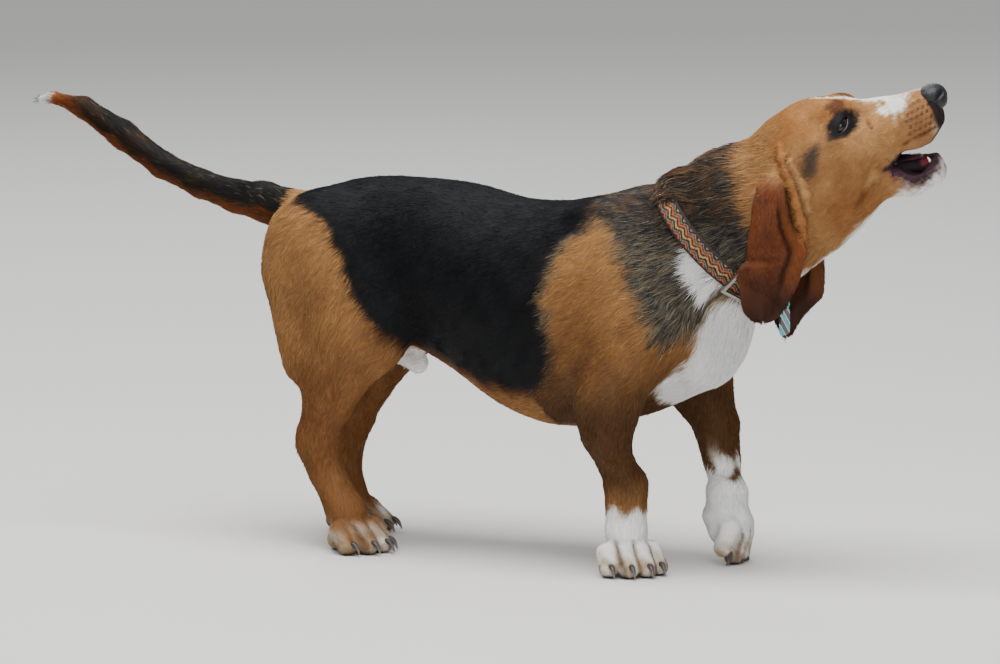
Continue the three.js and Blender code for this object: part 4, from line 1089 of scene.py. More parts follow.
def faceMarkings(p, h, hq):
    """The head's colours, and where white and dark hairs are mixed."""
    n = len(p)
    hx, hy, hz = hq.T
    ay = np.abs(hy)
    mirrored = np.stack([h[:, 0], np.abs(h[:, 1]), h[:, 2]], 1)
    # The ground tones: deeper at the crown and the throat, lighter under the eyes
    face = allOf(tone(166, 122, 76), n)
    face = blend(face, tone(126, 85, 48), 0.42 + 0.24 * broad(p + 70) + 0.18 * patchy(p) + 0.12 * fine(p))
    face = blend(face, tone(112, 72, 38), smoothstep(30, -12, hx) * 0.7)
    underEye = np.exp(-(((hx - 84) / 16) ** 2 + ((hz + 42) / 9) ** 2)) * (ay > 14)
    face = blend(face, tone(190, 146, 96), underEye * 0.6)
    face = blend(face, tone(124, 76, 40), smoothstep(-70, -92, hz) * smoothstep(100, 80, hx) * 0.5)

    face = blend(face, tone(140, 86, 38), smoothstep(-26, -4, hz) * smoothstep(100, 70, hx) * 0.45)
    # The blaze, and a white patch beside it
    blaze = np.interp(hx, [44, 60, 80, 95, 108, 118, 132, 150], [0.2, 2.4, 4.4, 4.6, 5.2, 7, 7.4, 5])
    fade = np.interp(hx, [46, 52, 116, 132, 150], [0, 0.95, 0.95, 0.55, 0.3])
    face = blend(face, white, smoothstep(2.4, -2.4, ay - blaze + 1.4 * finest(p)) * (hz > -18) * fade)
    patch = np.sqrt(((hx - 119) / 11) ** 2 + ((hz + 16) / 9) ** 2) + 0.24 * fine(p) + 0.3 * finest(p)
    face = blend(face, white, smoothstep(1.5, 0.5, patch) * (ay > 4) * 0.9)
    # The upper lip with its whisker spots, and reddish flecks on the white
    bed = smoothstep(120, 132, hx) * smoothstep(-16, -26, hz) * smoothstep(-66, -58, hz)
    face = blend(face, tone(146, 106, 70), bed * (0.75 + 0.2 * finest(p)))
    face = blend(face, tone(196, 184, 166), smoothstep(142, 152, hx) * smoothstep(-40, -50, hz) * 0.8)
    dots = np.full(n, 9.0)
    for dx, dz in whiskerSpots:
        u, v = h[:, 0] - dx, h[:, 2] - dz
        along, over = 0.5 * u + 0.86 * v, 0.86 * u - 0.5 * v
        dots = np.minimum(dots, (along / 1.9) ** 2 + (over / 1.15) ** 2)
    spotted = smoothstep(1.5, 0.4, dots) * (h[:, 2] > -50) * (h[:, 0] < 151)
    face = blend(face, tone(74, 40, 22), spotted * 0.75)
    redFleck = smoothstep(0.7, 1.3, fleck(h)) * smoothstep(108, 118, hx) * (hz > -22)
    face = blend(face, tone(150, 104, 76), redFleck * np.interp(hx, [106, 134], [0.45, 0.9]))

    # A dark patch on the cheek, painted shade in the creases, and a painted highlight on the fold beside one
    along = (hx - 33) * 0.67 + (hz + 41) * 0.75
    over = (hz + 41) * 0.67 - (hx - 33) * 0.75
    cheek = np.sqrt((along / 15.5) ** 2 + (over / 9) ** 2) + 0.12 * fine(p)
    face = blend(face, tone(50, 44, 42), smoothstep(1.35, 0.4, cheek) * (ay > 20) * 0.8)
    for line, depth, reach in ((foldLine, 0.85, 1.8), (frownLine, 0.75, 1.5), (jawLine, 0.7, 3.2)):
        face = blend(face, tone(92, 54, 28), depth * np.exp(-(lineDistance(mirrored, line) / reach) ** 2))
    foldHighlight = np.exp(-(lineDistance(mirrored, [(84, 31, -73), (76, 35, -79)]) / 4.5) ** 2)
    face = blend(face, tone(196, 160, 112), foldHighlight * (0.4 + 0.12 * fine(p)))

    # The brow, and the dark skin round the eyes
    smudge = np.sqrt(((hx - 68) / 10) ** 2 + ((hz + 0.5) / 6) ** 2)
    face = blend(face, tone(74, 42, 22), smoothstep(1.35, 0.5, smudge) * (ay > 13) * 0.85)
    lids = inArea(h[:, 0], h[:, 2], eyePatch)
    face = blend(face, skinDark, smoothstep(3.2, -2.4, lids + 0.9 * fine(p) + 0.7 * finest(p)) * (ay > 12))

    # Bare skin round the nose pad and below it
    noseRim = np.linalg.norm((h - [156, 0, -26]) / [16, 17, 15], axis=1)
    face = blend(face, skinDark, smoothstep(1.12, 0.98, noseRim))
    underNose = smoothstep(150, 154, h[:, 0]) * smoothstep(-52, -47, h[:, 2]) * (h[:, 2] < -24)
    face = blend(face, tone(46, 36, 38), underNose)

    # The chin's mixed hair, the white of its rim and throat, the lips, and the mouth's inside darkened as
    # painted shade, with the gum's red only at the front
    hollow = mouthHollow(h)
    jaw = (h[:, 2] < -71) & (h[:, 0] > 98)
    mixed = jaw * smoothstep(100, 112, hx)
    face = blend(face, tone(150, 136, 126), mixed * 0.9)
    rimWhite = smoothstep(138, 143, h[:, 0] + 0.4 * finest(p)) * (h[:, 2] < -74)
    rimWhite = rimWhite + smoothstep(-93, -99, hz) * (hx > 100)
    face = blend(face, white, rimWhite * 0.6)
    face = blend(face, tone(112, 92, 88), jaw * smoothstep(-0.1, 0.8, finest(p + 31)) * 0.6)
    width = np.interp(hx, [20, 44, 66, 84, 98, 115], [25, 23, 17, 15, 20, 20])
    throat = smoothstep(3, -3, ay - width) * smoothstep(-84, -94, hz) * (hx > 0)
    face = blend(face, white, throat * 0.9)
    lipDark = smoothstep(12, 5, hollow + 2.2 * finest(p)) * smoothstep(143.5, 140, h[:, 0])
    upperDark = smoothstep(2.6, 1.0, hollow) + smoothstep(6, 2, hollow) * smoothstep(112, 104, h[:, 0])
    face = blend(face, lipSkin, np.where(jaw, lipDark, upperDark * (h[:, 0] > 88)))
    # Painted shade inside the mouth
    inside = smoothstep(1.0, -0.4, hollow) * (h[:, 0] > 96)
    face = blend(face, tone(34, 24, 28), inside)
    front = smoothstep(124, 127, h[:, 0]) * smoothstep(134, 132, h[:, 0])
    face = blend(face, gumRed, 0.85 * inside * front * smoothstep(-80, -77, h[:, 2]))
    return face, mixed * (1 - lipDark) * smoothstep(0.95, 0.5, rimWhite)


# The skin

fleshNodes = ["torso", "neck", "head", "lower_jaw", "tail_root", "tail_middle", "tail_tip"]
fleshNodes += [f"{part}_{side}" for part in ("ear", "forearm", "forepaw", "thigh", "shank", "hindpaw")
               for side in ("right", "left")]


def triangulated(points, quads):
    """Each four-sided face split along its shorter diagonal."""
    a, b, c, d = (points[quads[:, k]] for k in range(4))
    across = ((a - c) ** 2).sum(1) <= ((b - d) ** 2).sum(1)
    first = np.where(across[:, None], quads[:, [0, 1, 2]], quads[:, [0, 1, 3]])
    second = np.where(across[:, None], quads[:, [0, 2, 3]], quads[:, [1, 2, 3]])
    return np.concatenate([first, second])


def refined(points, triangles, chosen):
    """The chosen triangles in four, and their neighbours split to match, without a gap."""
    ends = np.sort(np.concatenate([triangles[:, pair] for pair in ([0, 1], [1, 2], [2, 0])]), axis=1)
    key = ends[:, 0] * len(points) + ends[:, 1]
    unique, first, edge = np.unique(key, return_index=True, return_inverse=True)
    edge = edge.reshape(3, -1).T
    split = np.zeros(len(unique), bool)
    split[edge[chosen].ravel()] = True
    middle = np.full(len(unique), -1)
    middle[split] = len(points) + np.arange(split.sum())
    pairs = ends[first[split]]
    added = (points[pairs[:, 0]] + points[pairs[:, 1]]) / 2
    cut = split[edge]
    many = cut.sum(1)
    out = [triangles[many == 0]]
    t, m = triangles[many == 3], middle[edge[many == 3]]
    out += [np.stack([t[:, k], m[:, k], m[:, k - 1]], 1) for k in range(3)] + [m]
    for k in range(3):
        here = (many == 1) & cut[:, k]
        t, m = triangles[here], middle[edge[here, k]]
        a, b, c = t[:, k], t[:, (k + 1) % 3], t[:, (k + 2) % 3]
        out += [np.stack([a, m, c], 1), np.stack([m, b, c], 1)]
        here = (many == 2) & ~cut[:, k]
        t = triangles[here]
        a, b, c = t[:, k], t[:, (k + 1) % 3], t[:, (k + 2) % 3]
        m, n = middle[edge[here, (k + 1) % 3]], middle[edge[here, (k + 2) % 3]]
        out += [np.stack([a, b, m], 1), np.stack([a, m, n], 1), np.stack([m, c, n], 1)]
    return np.concatenate([points, added]), np.concatenate(out)


def vertexNormals(points, triangles):
    a, b, c = (points[triangles[:, k]] for k in range(3))
    normal = np.cross(b - a, c - a)
    total = np.zeros_like(points)
    for k in range(3):
        for axis in range(3):
            total[:, axis] += np.bincount(triangles[:, k], normal[:, axis], len(points))
    return total / np.maximum(np.linalg.norm(total, axis=1, keepdims=True), 1e-12)


def faceDetail(p):
    """True close to the eyes, the mouth and the nose."""
    h = toHead(p)
    close = np.zeros(len(p), bool)
    for s in (-1, 1):
        close |= ((h - eyePlace[s]) ** 2).sum(1) < 25 ** 2
    close |= (np.abs(mouthHollow(h)) < 9) & (h[:, 0] > 88)
    return close | (((h - [156, 0, -30]) ** 2).sum(1) < 24 ** 2)


skinPoints, skinQuads = surface(bodyField, grid)
skinFaces = triangulated(skinPoints, skinQuads)
firstAdded = len(skinPoints)
skinPoints, skinFaces = refined(skinPoints, skinFaces, faceDetail(skinPoints[skinFaces].mean(1)))
for _ in range(2):
    skinPoints[firstAdded:] = settled(bodyField, skinPoints[firstAdded:], 0.8)
skinNormals = vertexNormals(skinPoints, skinFaces)
skin = meshObject("skin", skinPoints, skinFaces)
colourPoints(skin, linear(markings(skinPoints)[0]))

# Nose, tongue, teeth, claws and eyes

noseField = melt(4, ball([152, 0, -20], [14, 14.5, 11]), ball([158, 0, -25], [7, 10, 9]))


def tube(rows, sides=14, steps=12, flatten=1.0):
    """A bent taper through rows of x, y, z, radius, closed at both ends."""
    rows = np.array(rows, float)
    table = np.column_stack([np.arange(len(rows)), rows])
    t = np.linspace(0, len(rows) - 1, steps)
    path = np.stack([readTable(table, t, k) for k in (1, 2, 3)], 1)
    radius = readTable(table, t, 4)
    forward = unit(np.gradient(path, axis=0))
    aside = unit(np.cross([0.12, 1, 0.08], forward))
    up = np.cross(forward, aside)
    turn = np.arange(sides) * 2 * math.pi / sides
    cosine, sine = np.cos(turn)[None, :, None], np.sin(turn)[None, :, None]
    ring = aside[:, None] * (cosine * flatten) + up[:, None] * sine
    points = (path[:, None] + ring * radius[:, None, None]).reshape(-1, 3)
    root = path[:1] - forward[:1] * radius[0] * 0.3
    tip = path[-1:] + forward[-1:] * radius[-1] * 0.6
    points = np.concatenate([points, root, tip])
    faces = []
    for n in range(steps - 1):
        for k in range(sides):
            a, b = n * sides + k, n * sides + (k + 1) % sides
            faces += [(a, a + sides, b + sides), (a, b + sides, b)]
    first, last = steps * sides, steps * sides + 1
    for k in range(sides):
        faces.append((first, k, (k + 1) % sides))
        faces.append((last, (steps - 1) * sides + (k + 1) % sides, (steps - 1) * sides + k))
    return points, np.array(faces), np.repeat(t / (len(rows) - 1), sides).tolist() + [0.0, 1.0]


def joined(parts):
    """Several meshes as one: points, triangles and a value for each point."""
    start, points, faces, values = 0, [], [], []
    for p, f, v in parts:
        points.append(p)
        faces.append(f + start)
        values.append(np.asarray(v))
        start += len(p)
    return np.concatenate(points), np.concatenate(faces), np.concatenate(values)


def ramp(values, *tones):
    """Tones along a value from 0 to 1."""
    at = np.linspace(0, 1, len(tones))
    return np.stack([np.interp(values, at, [t[k] for t in tones]) for k in range(3)], 1)


def tubesObject(name, tubes, *tones):
    points, faces, values = joined(tubes)
    obj = meshObject(name, points, faces)
    colourPoints(obj, linear(ramp(values, *tones)))
    return obj


nostrilRows = [[172, 6.4, -17, 2.8], [165, 8, -18.5, 3], [159.5, 12.3, -22.5, 1.9], [154, 15.8, -25.5, 1.1]]
nostrils = [limb(*[[x, y * s, z, r, r] for x, y, z, r in pair])
            for s in (-1, 1) for pair in zip(nostrilRows, nostrilRows[1:])]


def nosePad(h):
    out = noseField(h)
    out = out + 0.9 * np.exp(-(h[:, 1] / 1.1) ** 2) * smoothstep(157, 162, h[:, 0])
    for hole in nostrils:
        out = softMax(out, -hole(h), 1.4)
    return out + 0.16 * noseGrain(h)


def tonguePad(h):
    out = limb([90, 0, -70, 9, 13], [122, 0, -73.5, 5.5, 9])(h)
    return out + 0.8 * np.exp(-(h[:, 1] / 1.2) ** 2) * (h[:, 2] > -72) + 0.08 * tongueGrain(h)


def headPiece(name, field, low, high, step):
    """A fine mesh of a field in the head's frame."""
    points, quads = surface(field, [np.arange(a, b + step, step) for a, b in zip(low, high)])
    return meshObject(name, fromHead(points), quads), points


noseStep = 0.8
nosePiece, nosePoints = headPiece("nose_pad", nosePad, [132, -18, -38], [172, 18, -6], noseStep)
# The nose pad, with painted shade inside the nostrils
nostrilShade = smoothstep(1.4, -0.6, np.min([hole(nosePoints) for hole in nostrils], axis=0))
colourPoints(nosePiece, linear(blend(allOf(tone(17, 18, 22), len(nosePoints)), tone(4, 4, 5), nostrilShade)))
# The tongue, darkened towards the back as painted shade inside the mouth
tonguePiece, tonguePoints = headPiece("tongue_pad", tonguePad, [80, -16, -84], [132, 16, -58], 1.6)
tongueOutOfShade = smoothstep(98, 126, tonguePoints[:, 0])
colourPoints(tonguePiece, linear(ramp(tongueOutOfShade, (18, 13, 15), (44, 26, 32), (92, 46, 54))))


def headTube(rows, **kind):
    return tube([[*fromHead([x, y, z]), r] for x, y, z, r in rows], **kind)


# Teeth: the lower canines and three cheek teeth behind each, six in front below and above, the upper canines
teeth = []
for s in (-1, 1):
    teeth.append(headTube([[130.5, 8.8 * s, -84, 2.4], [132.6, 9.3 * s, -79, 2.2],
                           [133.4, 9.9 * s, -75.6, 1.4], [132.6, 10.2 * s, -72.4, 0.4]]))
    for n in range(3):
        x = 124 - 5.4 * n
        rows = [[x, 8.6 * s, -82, 2.2], [x, 8.8 * s, -77.5, 2.0], [x - 0.4, 8.8 * s, -74.8, 0.6]]
        teeth.append(headTube(rows, steps=7))
for n in range(6):
    y = (n - 2.5) * 2.6
    x = 137.5 - 0.06 * y * y
    lower = [[x - 1, y, -82, 1.5], [x, y, -77, 1.5], [x + 0.4, y * 1.04, -74.6, 0.8]]
    upper = [[x + 6, y * 1.15, -44, 1.5], [x + 6, y * 1.1, -50, 1.6], [x + 5.6, y * 1.1, -53, 0.8]]
    teeth += [headTube(rows, flatten=0.8, steps=7) for rows in (lower, upper)]
for s in (-1, 1):
    rows = [[137, 10.4 * s, -46, 3.1], [138, 10.8 * s, -53, 2.6], [136.8, 11 * s, -58.6, 0.5]]
    teeth.append(headTube(rows))
teethPiece = tubesObject("teeth", teeth, (190, 150, 128), (236, 228, 206), (244, 240, 226))

claws = []
for leg in legs:
    put = pawFrame(leg["paw"])
    for side, knuckle, tip, radius in toes:
        wide = side * toeSpread
        rows = [[*put(tip + radius - 7, wide, radius + 2), clawRadius],
                [*put(tip + radius - 1, wide * 1.01, radius + 1.2), clawRadius],
                [*put(tip + radius + 3.5, wide * 1.02, radius - 2), clawRadius * 0.72],
                [*put(tip + radius + clawLength - 8.5, wide * 1.03, 2.6), 0.7]]
        claws.append(tube([[x, y, max(z, r + 0.5), r] for x, y, z, r in rows], flatten=0.8))
clawPiece = tubesObject("claws", claws, (52, 47, 44), (58, 54, 54), (112, 104, 98))


gaze = unit([0.97, 0.02, 0.16])


def eyeball(s):
    """The eye: dark iris and pupil, and the white at its corners."""
    rows, sides = ((48, 72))
    turn = np.linspace(0, math.pi, rows + 1)[1:-1, None]
    around = (np.arange(sides) * 2 * math.pi / sides)[None]
    level = np.cos(turn) * np.ones_like(around)
    local = np.stack([level, np.sin(turn) * np.cos(around), np.sin(turn) * np.sin(around)], -1)
    local = np.concatenate([local.reshape(-1, 3), [[1, 0, 0], [-1, 0, 0]]])
    bulge = 1 + 0.035 * smoothstep(0.8, 1, local @ gaze)
    points = fromHead(eyePlace[s] + (local * eyeRadius * bulge[:, None]) @ eyeAxes(s))
    rings, last = rows - 1, (rows - 1) * sides
    k = np.arange(sides)
    after = (k + 1) % sides
    starts = np.arange(rings - 1)[:, None] * sides
    nexts = starts + sides
    quads = np.stack([starts + k, nexts + k, nexts + after, starts + after], -1).reshape(-1, 4)
    end = (rings - 1) * sides
    caps = np.concatenate([np.stack([np.full(sides, last), k, after], 1),
                           np.stack([np.full(sides, last + 1), end + after, end + k], 1)])
    angle = np.degrees(np.arccos(np.clip(local @ gaze, -1, 1)))
    tones = allOf(tone(96, 78, 74), len(local))
    for colour, amount in ((tone(70, 44, 38), smoothstep(62, 50, angle)),
                           (tone(26, 14, 10), smoothstep(50, 44, angle)),
                           (tone(58, 30, 16), smoothstep(43, 36, angle) * smoothstep(16, 30, angle) * 0.8),
                           (tone(5, 4, 5), smoothstep(22, 18, angle))):
        tones = blend(tones, colour, amount)
    obj = meshObject("eyeball_" + ("left" if s > 0 else "right"), points, [quads, caps])
    colourPoints(obj, linear(tones))
    return obj


eyePieces = {s: eyeball(s) for s in (-1, 1)}


def lidRim(s):
    """The wet edge of the lower lid, round the front of the eye."""
    rows = []
    for t in np.linspace(-0.98, 0.98, 9):
        aside, up = lidHalf * t, -lowerLid * (1 - t * t) - 0.2
        out = math.sqrt((eyeRadius + 1.0) ** 2 - aside ** 2 - up ** 2)
        rows.append([*fromHead(eyePlace[s] + np.array([out, aside, up]) @ eyeAxes(s)), 0.5 - 0.2 * t * t])
    return tube(rows, sides=10, steps=24)


rimPiece = tubesObject("lid_rims", [lidRim(s) for s in (-1, 1)], (58, 50, 54), (84, 78, 84), (50, 42, 44))

# Collar: a woven band with zigzag lines, close to the neck

collarCentre = np.array([84.0, 2.0, 311.0])
collarAxis = unit([0.7, 0.03, 0.714])
collarBack = unit(np.cross(collarAxis, [0, 1, 0]))
collarSide = np.cross(collarAxis, collarBack)
collarClear = 1.3
collarReach = 110.0
weaveRadius = 66.0
zigzagStep = 6.4
threadWidth = 2.45


def awayAt(turns):
    """The ways out from the collar's axis, at angles from the nape."""
    return np.cos(turns)[:, None] * collarBack + np.sin(turns)[:, None] * collarSide


def neckRadius(turns, along):
    """The radius of the skin about the collar's axis, found by halving."""
    away = awayAt(turns)
    low, high = np.full(len(turns), 30.0), np.full(len(turns), 125.0)
    for _ in range(14):
        middle = (low + high) / 2
        place = collarCentre + along * collarAxis + away * middle[:, None]
        outside = inChunks(earless, place) - coatDepth(place) > 0
        high = np.where(outside, middle, high)
        low = np.where(outside, low, middle)
    return low


def pressed(turns, along, radius):
    """How far an ear that lies on the collar pushes it in."""
    away = awayAt(turns)
    push = np.zeros(len(turns))
    for step in np.arange(0, 4.5, 0.5):
        reach = radius + collarClear + collarThickness - step
        place = collarCentre + along * collarAxis + away * reach[:, None]
        under = np.minimum(earMasses[-1](place), earMasses[1](place)) < 0.8
        push = np.where(under, step + 0.5, push)
    push = np.maximum(push, np.maximum(np.roll(push, 1), np.roll(push, -1)))
    return (np.roll(push, 1) + push + np.roll(push, -1)) / 3


def collarBand():
    around = 520
    half, thick = collarWidth / 2, collarThickness
    turns = np.arange(around) * 2 * math.pi / around
    places = np.linspace(-half, half, 25)
    radius = np.zeros((around, 3))
    for n, along in enumerate((-half, 0.0, half)):
        found = neckRadius(turns, along)
        found = (2 * found + np.roll(found, 1) + np.roll(found, -1)) / 4
        radius[:, n] = found - pressed(turns, along, found)
    outside = [(a, thick - 0.5 * (abs(a) / half) ** 8) for a in places]
    inside = [(a, 0.0) for a in np.linspace(half, -half, 7)]
    profile = np.array(outside + [(half + 0.25, thick * 0.5)] + inside + [(-half - 0.25, thick * 0.5)])
    count = len(profile)
    t, k = np.meshgrid(np.arange(around), np.arange(count), indexing="ij")
    along = profile[k, 0]
    share = np.clip((along + half) / collarWidth, 0, 1) * 2
    r = np.where(share < 1, radius[t, 0] * (1 - share) + radius[t, 1] * share,
                 radius[t, 1] * (2 - share) + radius[t, 2] * (share - 1))
    outer = k < len(places)
    stitch = turns[t] * weaveRadius
    zigzag = np.abs((stitch / zigzagStep) % 2 - 1)
    band = (along / threadWidth + zigzag * 1.5 + 40) % 4
    rib = 0.16 * np.sin(stitch * 2.6 + np.where((k % 2) == 0, 0, math.pi)) + 0.12 * (band < 1)
    edge = np.abs(along) > half - 1.6
    lift = profile[k, 1] + np.where(outer & ~edge, rib, 0)
    away = awayAt(turns)[t]
    points = collarCentre + along[..., None] * collarAxis + (r + collarClear + lift)[..., None] * away
    a = np.arange(around * count).reshape(around, count)
    b = np.roll(a, -1, axis=0)
    quads = np.stack([a, np.roll(a, -1, axis=1), np.roll(b, -1, axis=1), b], -1).reshape(-1, 4)
    tones = allOf(tone(30, 25, 25), around * count)
    for threads, colour in ((band < 0.8, tone(158, 122, 70)),
                            ((band > 1.55) & (band < 2.25), tone(150, 80, 44)),
                            ((band > 2.7) & (band < 3.1), tone(116, 106, 94)),
                            (edge | ~outer, tone(40, 31, 28))):
        tones = np.where(threads.reshape(-1, 1), colour, tones)
    tones = tones * (1 + 0.1 * rng.normal(size=(len(tones), 1)))
    obj = meshObject("collar_band", points.reshape(-1, 3), quads[:, ::-1])
    colourPoints(obj, linear(np.clip(tones, 5, 240)))
    return obj


collarPiece = collarBand()


def aboutCollar(p):
    """Places seen from the collar: along its axis, away from it, and how near to the nape."""
    q = p - collarCentre
    along = q @ collarAxis
    away = q - along[:, None] * collarAxis
    radial = np.linalg.norm(away, axis=1)
    return along, radial, smoothstep(0.6, 0.78, away @ collarBack / radial)


# The lie of the coat

pawPlaces = [pawFrame(leg["paw"])(6, 0, 20) for leg in legs]
pawTurns = [math.radians(leg["paw"]["turn"]) for leg in legs]


def lie(p):
    """The way that the hair points at places on the body, before it's laid on the skin."""
    x, y, z = p.T
    n = len(p)
    side = np.sign(y)
    ones = np.ones(n)
    way = np.stack([-ones, 0 * x, -0.3 * ones], 1)
    flank = smoothstep(20, 90, np.abs(y))
    way += np.stack([0 * x, 0.12 * side, -0.35 * flank], 1)
    chest = smoothstep(40, 90, x) * smoothstep(300, 240, z)
    way = blend(way, np.stack([-0.35 * ones, 0.2 * side, -ones], 1), chest)
    haunch = smoothstep(-225, -285, x) * smoothstep(330, 240, z)
    way = blend(way, np.stack([-0.45 * ones, 0 * x, -ones], 1), haunch)
    leg = smoothstep(190, 140, z) * ((x > foreEnd) | (x < hindStart))
    way = blend(way, np.stack([-0.28 * ones, 0 * x, -ones], 1), leg)
    for place, turn in zip(pawPlaces, pawTurns):
        close = smoothstep(60, 44, np.linalg.norm(p[:, :2] - place[:2], axis=1)) * smoothstep(56, 34, z)
        forward = np.array([[0.8 * math.cos(turn), 0.8 * math.sin(turn), -0.6]])
        way = blend(way, forward * ones[:, None], close)
    slope = np.interp(x, tailX[:-1], np.diff(tailZ) / np.diff(tailX))
    tailZone = smoothstep(-352, -386, x) * smoothstep(250, 290, z)
    way = blend(way, unit(np.stack([-ones, 0 * x, -slope], 1)), tailZone)
    h = toHead(p)
    onHead = smoothstep(-10, 22, h[:, 0] + 0.28 * h[:, 2])
    cheek = smoothstep(-20, -60, h[:, 2])
    fore = np.stack([-ones, 0.16 * np.sign(h[:, 1]), -0.1 - 0.3 * cheek], 1)
    way = blend(way, fore @ headAxis, onHead)
    return blend(way, np.stack([-0.16 * ones, -0.05 * ones, -ones], 1), earShare(p)[0])


def overCollar(p):
    """How much higher the hair of the nape lies where the collar is under it."""
    along, radial, top = aboutCollar(p)
    fade = np.where(along > 0, 9.0, 2.5)
    close = smoothstep(collarWidth / 2 + fade, collarWidth / 2 - 0.5, np.abs(along)) * (radial < collarReach)
    return (collarClear + collarThickness + 2.8) * top * close


def ruff(p):
    """How far a place is where hair hangs back over the collar."""
    along, radial, top = aboutCollar(p)
    return top * (along > 6) * smoothstep(24, 18, along) * (radial < collarReach)


rootDepth = 0.5
floorGap = 0.2


def blades(roots, normals, ways, length, width, height, curved):
    """Closed blades of hair that lie along the skin: three-sided at the root, and a point at the tip."""
    along = ways - (ways * normals).sum(1)[:, None] * normals
    along = unit(along + 1e-6)
    across = np.cross(normals, along)
    rows = [roots - normals * rootDepth]
    for share in ([0.5, 1.0] if curved else [1.0]):
        centre = roots + along * (length * share)[:, None]
        depth = inChunks(bodyField, centre)
        lift = height * share ** 0.8 + np.clip(-depth, -4, 1.6) + overCollar(centre)
        rows.append(centre + normals * lift[:, None])
    points, tilts = [], []
    half = across * width[:, None] / 2
    thick = width[:, None] * 0.55 + 0.25
    for centre, scale in zip(rows[:-1], (1.0, 0.72)):
        points += [centre - half * scale, centre + half * scale, centre + normals * thick * scale]
        tilts += [-0.55 * across, 0.55 * across, -0.15 * along]
    points.append(rows[-1])
    tilts.append(0.2 * along)
    points = np.stack(points, 1)
    points[..., 2] = np.maximum(points[..., 2], floorGap)
    shading = np.stack([unit(normals + tilt) for tilt in tilts], 1)
    return points, shading


# A blade's faces, and for each of its points the share of the way from the root's tone to the tip's, and its
# place in the blade's patch of the unwrap
straightBlade = {
    "faces": np.array([(0, 2, 1), (0, 1, 3), (1, 2, 3), (2, 0, 3)]),
    "shares": [0, 0, 0.25, 1],
    "patch": np.array([(-1, -1), (1, -1), (0, -0.4), (0, 1)]),
}
curvedBlade = {
    "faces": np.array([(0, 2, 1), (0, 1, 4), (0, 4, 3), (1, 2, 5), (1, 5, 4), (2, 0, 3), (2, 3, 5),
                       (3, 4, 6), (4, 5, 6), (5, 3, 6)]),
    "shares": [0, 0, 0.2, 0.5, 0.5, 0.6, 1],
    "patch": np.array([(-1, -1), (1, -1), (0, -0.6), (-0.8, 0), (0.8, 0), (0, 0.3), (0, 1)]),
}
patchSize = 0.0015


# An unwrap of the skin's own shape: each part of the body seen from its six sides, packed in one square

def bodyPart(p):
    x, y, z = p.T
    part = np.zeros(len(p), int)
    part[toHead(p)[:, 0] > 4] = 1
    part[(x < tailStart) & (z > 270)] = 2
    legZone = z < 150
    part[legZone & (x > foreEnd) & (y < 0)] = 3
    part[legZone & (x > foreEnd) & (y >= 0)] = 4
    part[(z < 205) & (x < -236) & (y < 0)] = 5
    part[(z < 205) & (x < -236) & (y >= 0)] = 6
    share = earShare(p)[0]
    part[(share > 0.5) & (y < 12)] = 7
    part[(share > 0.5) & (y >= 12)] = 8
    return part


def chartOf(p, normal):
    axis = np.abs(normal).argmax(1)
    facing = normal[np.arange(len(p)), axis] > 0
    return bodyPart(p) * 6 + axis * 2 + facing


def flat(p, chart):
    axis = (chart % 6) // 2
    return np.stack([np.where(axis == 0, p[:, 1], p[:, 0]), np.where(axis == 2, p[:, 1], p[:, 2])], 1)


chartMargin = 4.0


def packedCharts(points, triangles):
    """Where each chart's corner goes in a square, and the scale from millimetres to a unit square."""
    a, b, c = (points[triangles[:, k]] for k in range(3))
    chart = chartOf((a + b + c) / 3, np.cross(b - a, c - a))
    spot = flat((a + b + c) / 3, chart)
    sizes = []
    for key in np.unique(chart):
        inside = spot[chart == key]
        sizes.append((key, inside.min(0) - chartMargin, inside.max(0) - inside.min(0) + 3 * chartMargin))
    sizes.sort(key=lambda item: -item[2][1])
    width = 700.0
    while True:
        width *= 1.04
        corners, x, y, shelf = {}, 0.0, 0.0, 0.0
        for key, low, size in sizes:
            if x + size[0] > width:
                x, y, shelf = 0.0, y + shelf, 0.0
            corners[key] = (np.array([x, y]), low)
            x += size[0]
            shelf = max(shelf, size[1])
        if y + shelf <= width:
            return corners, 1 / width


charts, chartScale = packedCharts(skinPoints, skinFaces)
corner, lowest = np.zeros((2, 9 * 6, 2))
for key, (place, low) in charts.items():
    corner[key] = place
    lowest[key] = low


def unwrapped(p, normal):
    chart = chartOf(p, normal)
    return np.clip((corner[chart] + flat(p, chart) - lowest[chart]) * chartScale, 0.002, 0.998)


# The coat

def scattered(total, weight):
    """Random places on the skin, closer together where the weight is larger."""
    a, b, c = (skinPoints[skinFaces[:, k]] for k in range(3))
    area = np.linalg.norm(np.cross(b - a, c - a), axis=1) / 2
    share = area * weight((a + b + c) / 3)
    chosen = np.searchsorted(np.cumsum(share), rng.uniform(0, share.sum(), total))
    chosen = np.minimum(chosen, len(share) - 1)
    u, v = rng.uniform(0, 1, (2, total))
    over = u + v > 1
    u, v = np.where(over, 1 - u, u)[:, None], np.where(over, 1 - v, v)[:, None]
    corners = [skinPoints[skinFaces[chosen, k]] for k in range(3)]
    normals = [skinNormals[skinFaces[chosen, k]] for k in range(3)]
    mix = [1 - u - v, u, v]
    return sum(m * c for m, c in zip(mix, corners)), unit(sum(m * n for m, n in zip(mix, normals)))


def zones(p):
    """How far a place belongs to each zone of the coat."""
    x, z = p[:, 0], p[:, 2]
    h = toHead(p)
    head = smoothstep(-20, 12, h[:, 0] + 0.12 * h[:, 2])
    return {
        "head": head,
        "muzzle": smoothstep(80, 125, h[:, 0]) * head,
        "ear": earShare(p)[0],
        "foot": smoothstep(78, 40, z),
        "leg": smoothstep(190, 120, z) * ((x > foreEnd) | (x < hindStart)),
        "tail": smoothstep(tailStart, tailStart - 14, x) * (z > 250),
        "neck": smoothstep(-10, 50, x) * (1 - head) * smoothstep(200, 250, z),
        "chest": smoothstep(40, 80, x) * smoothstep(262, 230, z) * smoothstep(110, 150, z),
    }


